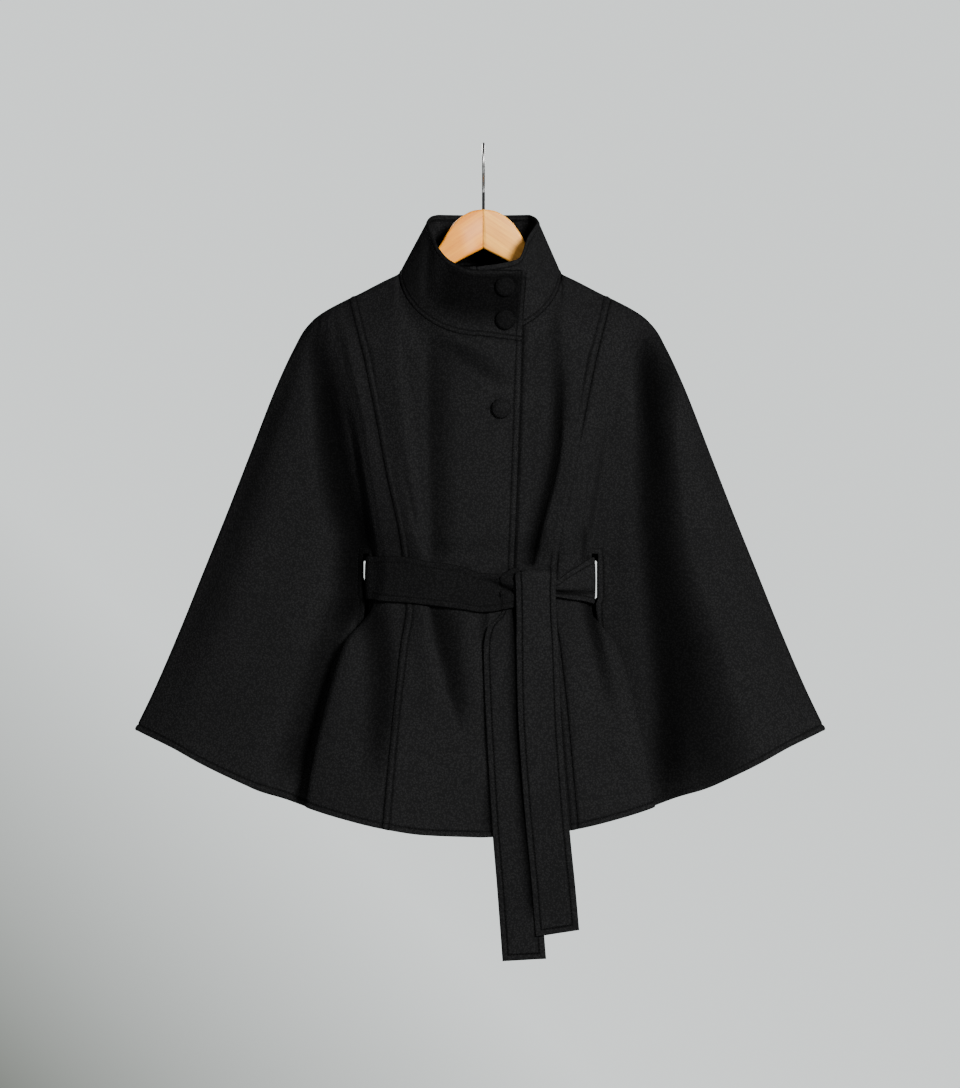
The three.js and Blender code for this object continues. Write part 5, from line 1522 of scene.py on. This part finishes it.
@dataclass
class Sash:
    """The belt: its loop through the four slits, the knot and the two hanging tails."""

    finishes: Finishes
    wall: float = 3.0
    seat: float = 1.8
    side_reach: float = 134.4
    stitch: float = 6.5
    shoulder_drop: float = 4.0

    def route(self) -> list[tuple]:
        """Stops of the loop from the knot over the right slit round the back to the left slit.

        Returns:
            Rows of kind, half and place: cloth stops lie on the coat, the others turn through a slit.
        """
        laid = [206, 190, 180, 150, 112, 98, 84, 60, 40, 20]

        def turn(before: HalfForm, past: HalfForm) -> list[tuple]:
            """Through a slit, from one half round the side to the other."""
            return [
                ("corner", before, -1.6, 0.3), ("corner", before, 3, 0), ("side", before, 0, 0),
                ("corner", past, 3, 0), ("corner", past, -1.6, 0.3),
            ]

        def along(half: HalfForm, places: list[float]) -> list[tuple]:
            """Flat on the cloth of a half."""
            return [("cloth", half, a, 0) for a in places]

        return [
            ("end", FRONT_LEFT, 58, 1.0), ("end", FRONT_LEFT, 50, 2.4), ("end", FRONT_LEFT, 38, 2.5),
            ("cloth", FRONT_LEFT, 31, 0.4), ("cloth", FRONT_LEFT, 16, 0),
            *along(FRONT_RIGHT, [0, *laid[::-1]]), *turn(FRONT_RIGHT, BACK_RIGHT),
            *along(BACK_RIGHT, [*laid, 0]), *along(BACK_LEFT, laid[::-1]), *turn(BACK_LEFT, FRONT_LEFT),
            *along(FRONT_LEFT, laid[:5]),
            ("end", FRONT_LEFT, 98, 2.0), ("end", FRONT_LEFT, 90, 3.5), ("end", FRONT_LEFT, 78, 3.0),
        ]

    def spot(self, stop: tuple, z: np.ndarray) -> np.ndarray:
        """Points of one stop at heights z: on the cloth at the seat, or at the slit's side."""
        kind, half, place, lift = stop
        if kind == "side":
            reach = np.full_like(z, self.side_reach)
            return np.stack([COAT.mid_x + half.side.value * reach, np.zeros_like(z), z], -1)
        if kind == "corner":
            _, depth = half.spot(np.full_like(z, LIP_IN), z)
            reach = np.full_like(z, self.side_reach - lift)
            return np.stack([COAT.mid_x + half.side.value * reach, half.face.value * (depth - place), z], -1)
        u, depth = half.spot(np.full_like(z, float(place)), z)
        y = depth + self.seat + lift
        return np.stack([COAT.mid_x + half.side.value * u, half.face.value * y, z], -1)

    def build_loop(self) -> None:
        """The loop: stops joined by smooth curves along it, puckered beside the knot."""
        route = self.route()
        shares = edged((0, 0.01, 0.03, 0.07, 0.1, 0.116, 0.13, 0.146, 0.17), 0.2, 26)
        turns = [i for i, stop in enumerate(route) if stop[0] == "side"]
        stops = []
        for i, stop in enumerate(route):
            x = float(self.spot(stop, np.array([-525.0]))[0, 0])
            front = stop[1].face is Face.FRONT and stop[0] in ("cloth", "end")
            if front and i > turns[1]:
                edge = [curve(column(SASH_LEFT, 0), column(SASH_LEFT, k), x) for k in (1, 2)]
            elif front and i < turns[0]:
                edge = [curve(-column(SASH_RIGHT, 0), column(SASH_RIGHT, k), -x) for k in (1, 2)]
            else:
                share = ease(turns[0], turns[1], np.array(float(i)))
                edge = [mix(SASH_RIGHT[-1][k], SASH_LEFT[-1][k], share) for k in (1, 2)]
            stops.append(self.spot(stop, mix(float(edge[0]), float(edge[1]), shares)))
        stops = np.stack(stops, 1)
        length = run_length(stops.mean(0))
        fine = self.spread(length, 3.0)
        places = np.broadcast_to(fine, (len(shares), len(fine)))
        points = np.stack([curve(length, stops[..., k][:, None, :], places) for k in range(3)], -1)
        normals = grid_normals(points)
        x, z = points[..., 0], points[..., 2]
        tall = np.linalg.norm(points[0] - points[-1], axis=-1)
        share = shares[:, None]
        near = np.minimum(share, 1 - share) * tall
        press_and_painted_shade = np.exp(-(((near - self.stitch) / 0.8) ** 2))
        front = normals[..., 1] < -0.3
        pucker = self.pucker(x, z) * front
        # Painted shade: on the loop left of the knot, in the puckers' troughs and along the stitch grooves.
        shade = 0.35 * front * (x < 45) + 0.8 * painted_trough_shade(pucker * 1.6)
        puff = 0.8 * np.sin(np.pi * share) ** 0.5 + 0.5 * np.sin(x * 0.05 + 1.3) * np.sin(np.pi * share)
        lift = self.wall + puff + pucker - 0.5 * press_and_painted_shade
        outer = points + normals * lift[..., None]
        outer_normals = grid_normals(outer)
        vertices, faces, by = closed_wall(outer, outer_normals, self.wall, rim=0.42)
        flat = np.stack([np.broadcast_to(fine, x.shape), share * tall], -1)
        piece = rows_to_mesh("sash_loop", vertices, faces, self.finishes.wool, flat.reshape(-1, 2)[by],
                             np.maximum(0.7 * press_and_painted_shade, shade).ravel()[by])
        finish_piece(piece, "wool", "belt_loop")
        threads = []
        for side in (0, 1):
            at = np.abs(side - self.stitch / tall)
            rows = np.interp(at, shares, np.arange(len(shares)))
            r = np.minimum(rows.astype(int), len(shares) - 2)
            c = np.arange(len(fine))
            part = (rows - r)[:, None]
            line = mix(outer[r, c], outer[r + 1, c], part)
            up = mix(outer_normals[r, c], outer_normals[r + 1, c], part)
            threads.append((line + up * 0.2, up))
        stitches = sew("sash_loop_stitches", threads, self.finishes)

    @staticmethod
    def spread(length: np.ndarray, spacing: float) -> np.ndarray:
        """Places along a length, every `spacing` and at least four between each two stops."""
        parts = [np.linspace(a, b, max(4, round((b - a) / spacing)), endpoint=False)
                 for a, b in zip(length[:-1], length[1:])]
        return np.concatenate([*parts, [length[-1]]])

    @staticmethod
    def pucker(x: np.ndarray, z: np.ndarray) -> np.ndarray:
        """Folds that run into the knot, each a bell curve about a line across, fading away from it."""
        total = np.zeros_like(x)
        rows = (
            ((-12, -517), (10, -525), (38, -538), -3.8, 2.4, 30.0),
            ((-10, -512), (14, -519), (38, -528), 2.4, 4.0, 26.0),
            ((-4, -532), (16, -537), (38, -546), 2.2, 5.0, 30.0),
            ((84, -538), (104, -539), (132, -539), -4.4, 2.6, 52.0),
            ((84, -531), (104, -531), (132, -530), 1.6, 4.6, 40.0),
            ((84, -523), (98, -513), (118, -503), -3.0, 1.6, 26.0),
            ((84, -518), (98, -507), (118, -499), 1.6, 3.0, 30.0),
            ((84, -543), (104, -547), (128, -550), 1.8, 3.4, 46.0),
        )
        for first, second, third, rise, width, reach in rows:
            keys, values = [first[0], second[0], third[0]], [first[1], second[1], third[1]]
            middle = curve(keys, values, x)
            knot = third[0] if first[0] < 50 else first[0]
            fade = np.exp(-(((x - knot) / reach) ** 2)) * ease(first[0] - 14, first[0], x)
            total = total + rise * np.exp(-(((z - middle) / width) ** 2)) * fade
        return total

    def build_knot(self) -> None:
        """The knot under the upper tail: a rounded pad with folds wrapped round it."""
        wide = np.linspace(0, 2 * np.pi, 72, endpoint=False)
        tall = np.linspace(-np.pi / 2, np.pi / 2, 40)[1:-1]
        long_, lat = np.meshgrid(wide, tall)
        ball = np.stack([np.cos(lat) * np.cos(long_), np.cos(lat) * np.sin(long_), np.sin(lat)], -1)
        ball = np.concatenate([ball.reshape(-1, 3), [[0, 0, -1], [0, 0, 1]]])
        boxy = np.sign(ball) * np.abs(ball) ** 0.7
        x, z = 59.5 + 24.5 * boxy[:, 0], -540 + 24.0 * boxy[:, 2]
        fold = 0.7 * np.sin((x * 0.35 - (z + 540)) * 0.42) * (boxy[:, 1] < 0)
        y = front_y(x, z) - 0.9 - 4.1 * (1 - boxy[:, 1]) - np.maximum(fold, -0.4)
        vertices = np.stack([x, y, z], -1)
        piece = rows_to_mesh("sash_knot", vertices, capped_rings(len(tall), len(wide)), self.finishes.wool,
                             vertices[:, [0, 2]], np.zeros(len(vertices)))
        finish_piece(piece, "wool", "belt_knot")

    def build_tail(self, name: str, node: str, table: tuple, slope: float) -> None:
        """A hanging tail: a ribbon carried down its table's path, stitched at its edges and end.

        Args:
            name: the piece's name.
            node: the CAD node it stands for.
            table: height, middle, width and distance off the cloth.
            slope: how much the end's right corner is cut lower, per millimetre across.
        """
        path = np.array(table, float)
        along = run_length(path[:, [0, 3]])
        last = along[-1]
        near_end = np.array([12, 9.5, 8.2, 7.3, 6.5, 5.7, 4.4, 2.6, 1.2, 0.3, 0])
        down = np.concatenate([np.arange(0, last - near_end[0], 2.6), last - near_end])
        z, middle, width, off = (curve(along, path[:, k], down) for k in range(4))
        shares = edged((0, 0.01, 0.03, 0.07, 0.1, 0.115, 0.13, 0.145, 0.17), 0.21, 12)
        across = (shares - 0.5)[None, :]
        end = ease(0.8 * last, last, down)[:, None]
        x = middle[:, None] + width[:, None] * across
        level = z[:, None] + slope * width[:, None] * across * end
        level = level - self.shoulder_drop * (2 * across) ** 4 * (1 - ease(0, 30, down))[:, None]
        swing = 0.9 * np.sin(down * 0.021 + 0.6) * ease(40, 160, down)
        wave = swing[:, None] * np.sin(across * 5.0 + 0.4)
        side = np.minimum(shares, 1 - shares)[None, :] * width[:, None]
        near = np.minimum(side, (last - down)[:, None])
        press_and_painted_shade = np.exp(-(((near - self.stitch) / 0.8) ** 2))
        wall = mix(1.4, self.wall, ease(0, 16, down))[:, None] * np.ones_like(x)
        puff = 0.7 * (1 - np.exp(-near / 2.5))
        lay = off[:, None] + wall + wave + puff - 0.5 * press_and_painted_shade
        y = front_y(x, np.maximum(level, -828)) - lay
        points = np.stack([x, y, level], -1)
        normals = grid_normals(points, Face.FRONT)
        vertices, faces, by = closed_wall(points, normals, wall, rim=0.42)
        flat = np.stack([width[:, None] * across, -down[:, None] + np.zeros_like(x)], -1)
        upper_edge = curve_down(column(OVER_TAIL, 0), column(OVER_TAIL, 1) - column(OVER_TAIL, 2) / 2, level)
        # A painted shadow of the upper tail on the under tail, and painted shade along the stitch grooves.
        painted_tail_shadow = 0.85 * np.exp(-(((x - upper_edge) / 8) ** 2)) * (name == "sash_tail_under")
        painted_tail_shadow = painted_tail_shadow * (1 - ease(-905, -930, level))
        piece = rows_to_mesh(name, vertices, faces, self.finishes.wool, flat.reshape(-1, 2)[by],
                             np.maximum(press_and_painted_shade, painted_tail_shadow).ravel()[by])
        finish_piece(piece, "wool", node)
        lines = []
        rows = np.arange(len(down) - 7)
        for column_ in (6, len(shares) - 7):
            lines.append((points[rows, column_] + normals[rows, column_] * 0.25, normals[rows, column_]))
        row = len(down) - 7
        lines.append((points[row, 6:-6] + normals[row, 6:-6] * 0.25, normals[row, 6:-6]))
        stitches = sew(name + "_stitches", lines, self.finishes)

    def build(self) -> None:
        """The loop, the knot and both tails."""
        self.build_loop()
        self.build_knot()
        self.build_tail("sash_tail_over", "belt_tail_over", OVER_CURL + OVER_TAIL, 0.16)
        self.build_tail("sash_tail_under", "belt_tail_under", UNDER_TAIL, 0.06)


@dataclass
class Hanger:
    """Two flat beech boards that meet in a mitre, and the wire hook."""

    finishes: Finishes
    thick: float = 10.0
    edge: float = 3.0
    mitre_edge: float = 0.3
    mitre_x: float = -0.6
    mitre_gap: float = 0.3
    arm: float = 182.0
    tip: float = 22.0
    clear: float = 1.25
    wire: float = 3.6
    inner: float = 20.0

    def outline(self, side: Side) -> np.ndarray:
        """The board's outline as smooth runs: crown, along under the cloth, tip and underside."""
        s = side.value
        start = self.mitre_x + s * self.mitre_gap / 2
        crown = np.array([(0, -77), (12, -78.6), (23, -83.5), (34, -92), (43, -104),
                          (52, -119.5), (62, -132)])
        crown = crown * (s, 1)
        neck = np.array([(COAT.mid_x + s * 80, -151.8), (COAT.mid_x + s * 99, -163.2)])
        u = np.array([116.0, 134, 152, 168])
        on_cloth = np.stack([COAT.mid_x + s * u, COAT.ridge_at(u) - COAT.wall - self.clear], -1)
        upper = np.concatenate([crown, neck, on_cloth])
        order = np.argsort(s * upper[:, 0])
        end_z = float(COAT.ridge_at(np.array(abs(s * self.arm - COAT.mid_x)))) - COAT.wall - self.clear
        upper = np.concatenate([upper, [(s * self.arm, end_z)]])
        order = np.append(order, len(upper) - 1)
        keys = (s * upper[:, 0])[order]
        across = np.concatenate([np.linspace(0, 70, 36, endpoint=False), np.linspace(70, 175, 36)])
        top = np.stack([s * across, curve(keys, upper[order, 1], across)], -1)
        top[0, 0] = start
        under = np.array([(0, -124), (34, -142), (74, -172), (112, -197), (150, -218)], float)
        back = np.linspace(165, 0, 50)
        foot = end_z - self.tip
        low_keys = np.append(under[:, 0], 177.0)
        low = np.stack([s * back, curve(low_keys, np.append(under[:, 1], foot), back)], -1)
        low[-1, 0] = start
        turn = np.radians(np.linspace(90, -90, 15)[1:-1])
        high_z, low_z = top[-1, 1], low[0, 1]
        middle, half = (high_z + low_z) / 2, (high_z - low_z) / 2
        tip = np.stack([s * (175 + 7 * np.cos(turn) ** 0.6), middle + half * np.sin(turn)], -1)
        return np.concatenate([top, tip, low])

    def board(self, name: str, node: str, side: Side) -> None:
        """A board: its outline as front, back and sides, with the edges rounded by a bevel."""
        line = self.outline(side)
        count = len(line)
        half = self.thick / 2
        front = np.stack([line[:, 0], np.full(count, -half), line[:, 1]], -1)
        back = front + np.array([0, self.thick, 0])
        vertices = np.concatenate([front, back])
        ring = np.arange(count)
        nxt = (ring + 1) % count
        area = (line[:, 0] * np.roll(line[:, 1], -1) - np.roll(line[:, 0], -1) * line[:, 1]).sum()
        order = ring if area > 0 else ring[::-1]
        sides = np.stack([ring, ring + count, nxt + count, nxt], -1)
        sides = sides if area > 0 else sides[:, ::-1]
        faces = [order[None], (order + count)[::-1][None], sides]
        piece = rows_to_mesh(name, vertices, faces, self.finishes.beech)
        mesh = piece.data
        ends = np.empty(len(mesh.edges) * 2, np.int32)
        mesh.edges.foreach_get("vertices", ends)
        ends = ends.reshape(-1, 2)
        on_outline = (ends[:, 0] < count) == (ends[:, 1] < count)
        at_mitre = np.abs(vertices[ends, 0] - line[0, 0]).max(1) < 0.01
        weight = np.where(on_outline, np.where(at_mitre, self.mitre_edge / self.edge, 1.0), 0.0)
        bevelled = mesh.attributes.new("bevel_weight_edge", "FLOAT", "EDGE")
        bevelled.data.foreach_set("value", weight.astype(np.float32))
        bevel = piece.modifiers.new("edge", "BEVEL")
        bevel.width = self.edge * MM
        bevel.segments = 4
        bevel.limit_method = "WEIGHT"
        finish_piece(piece, "wood", node)

    def hook(self) -> None:
        """The hook: a round wire carried over its arc, down and into the boards, its tip rounded."""
        radius, centre = self.inner + self.wire / 2, -self.inner
        turn = np.radians(np.arange(-35, 231, 5.0))
        arc = np.stack([np.zeros_like(turn), radius * np.cos(turn), centre + radius * np.sin(turn)], -1)
        stem = np.array([(0, -4.6, -45.5), (0, -0.8, -52), (0, 0, -60), (0, 0, -80), (0, 0, -101)], float)
        stops = np.concatenate([arc, stem])
        length = run_length(stops)
        fine = np.linspace(0, length[-1], 260)
        path = np.stack([curve(length, stops[:, k], fine) for k in range(3)], -1)
        forward = unit(np.gradient(path, axis=0))
        side = np.array([1.0, 0, 0])
        up = unit(np.cross(forward, side))
        girth = self.wire / 2 * np.sqrt(np.clip(1 - (1 - np.clip(fine / 1.8, 0, 1)) ** 2, 0.02, 1))
        around = np.linspace(0, 2 * np.pi, 20, endpoint=False)
        ring = np.cos(around)[:, None] * side + np.sin(around)[:, None] * up[:, None]
        vertices = (path[:, None] + girth[:, None, None] * ring).reshape(-1, 3)
        quads = capped_rings(len(fine), len(around))[0]
        first_ring = np.arange(len(around))
        faces = [quads, first_ring[::-1][None], (first_ring + len(vertices) - len(around))[None]]
        some = quads[len(quads) // 2]
        corners = vertices[some]
        outward = np.cross(corners[1] - corners[0], corners[3] - corners[0])
        if (outward * (corners[0] - path[some[0] // len(around)])).sum() < 0:
            faces = [group[:, ::-1] for group in faces]
        piece = rows_to_mesh("hook_wire", vertices, faces, self.finishes.steel)
        finish_piece(piece, "steel", "hanger_hook")

    def build(self) -> None:
        """Both boards and the hook."""
        self.board("board_right", "hanger_arm_right", Side.RIGHT)
        self.board("board_left", "hanger_arm_left", Side.LEFT)
        self.hook()


@dataclass
class Studio:
    """Soft light, a grey surround and a round pale floor below the view."""

    finishes: Finishes
    floor_z: float = -1500.0
    floor_radius: float = 2300.0
    grey: tuple[float, float, float] = (1.10, 1.16, 1.15)
    low_grey: tuple[float, float, float] = (0.18, 0.195, 0.168)
    dim_grey: tuple[float, float, float] = (0.55, 0.56, 0.57)
    dim: float = 0.2
    dusk: tuple[float, float] = (0.085, 0.215)

    def surround(self) -> None:
        """The grey that the camera sees, and a dimmer one that lights the coat."""
        world = bpy.data.worlds.new("surround")
        world.use_nodes = True
        bpy.context.scene.world = world
        tree = world.node_tree
        tree.nodes.clear()
        place = add_node(tree, "TexCoord").outputs["Generated"]
        slant = add_node(tree, "VectorMath", {0: place, 1: (-1.0, 0.0, -1.0)}, operation="DOT_PRODUCT")
        dusk = add_node(tree, "MapRange", {"Value": slant.outputs["Value"], "From Min": self.dusk[0],
                                           "From Max": self.dusk[1]})
        tone = add_node(tree, "Mix", {"Factor": dusk.outputs["Result"], "A": (*self.grey, 1.0),
                                      "B": (*self.low_grey, 1.0)}, data_type="RGBA")
        seen = add_node(tree, "Background", {"Color": tone.outputs["Result"]})
        lit = add_node(tree, "Background", {"Color": (*self.dim_grey, 1.0), "Strength": self.dim})
        is_seen = add_node(tree, "LightPath").outputs["Is Camera Ray"]
        either = add_node(tree, "MixShader", {"Fac": is_seen, 1: lit.outputs["Background"],
                                              2: seen.outputs["Background"]})
        add_node(tree, "OutputWorld", {"Surface": either.outputs["Shader"]})

    @staticmethod
    def softbox(name: str, place: tuple[float, float, float], aim: tuple[float, float, float], size: float,
                power: float) -> None:
        """A square area light of a size in metres at a place, turned to what it lights."""
        data = bpy.data.lights.new(name, "AREA")
        data.size = size
        data.energy = power
        light = bpy.data.objects.new(name, data)
        bpy.context.scene.collection.objects.link(light)
        light.location = place
        light.rotation_euler = (Vector(aim) - Vector(place)).to_track_quat("-Z", "Y").to_euler()

    def floor(self) -> None:
        """A round floor far enough below that the level view doesn't see it."""
        turn = np.linspace(0, 2 * np.pi, 96, endpoint=False)
        rim = np.stack([self.floor_radius * np.cos(turn), self.floor_radius * np.sin(turn),
                        np.full(len(turn), self.floor_z)], -1)
        piece = rows_to_mesh("floor", rim, [np.arange(len(turn))[None]], self.finishes.floor)

    def build(self) -> None:
        """Surround, lights and floor."""
        self.surround()
        self.softbox("key", (1.8, -3.5, 0.9), (0, 0, -0.5), 1.0, 560.0)
        self.softbox("fill", (-2.4, -3.6, -0.2), (0, 0, -0.5), 2.2, 45.0)
        self.softbox("back_left", (-2.2, 2.6, 1.2), (0, 0, -0.5), 1.6, 240.0)
        self.softbox("back_right", (2.4, 2.4, 0.8), (0, 0, -0.5), 1.6, 160.0)
        self.floor()


def main() -> None:
    """Builds the camera, the finishes and each sub-assembly in order."""
    logging.basicConfig(level=logging.INFO, format="%(name)s %(message)s")
    VIEW.make_camera()
    finishes = Finishes()
    Panels(finishes).build_all()
    collar = Collar(finishes)
    collar.build()
    Buttons(finishes).build(collar)
    Sash(finishes).build()
    Hanger(finishes).build()
    Studio(finishes).build()


if __name__ == "__main__":
    main()
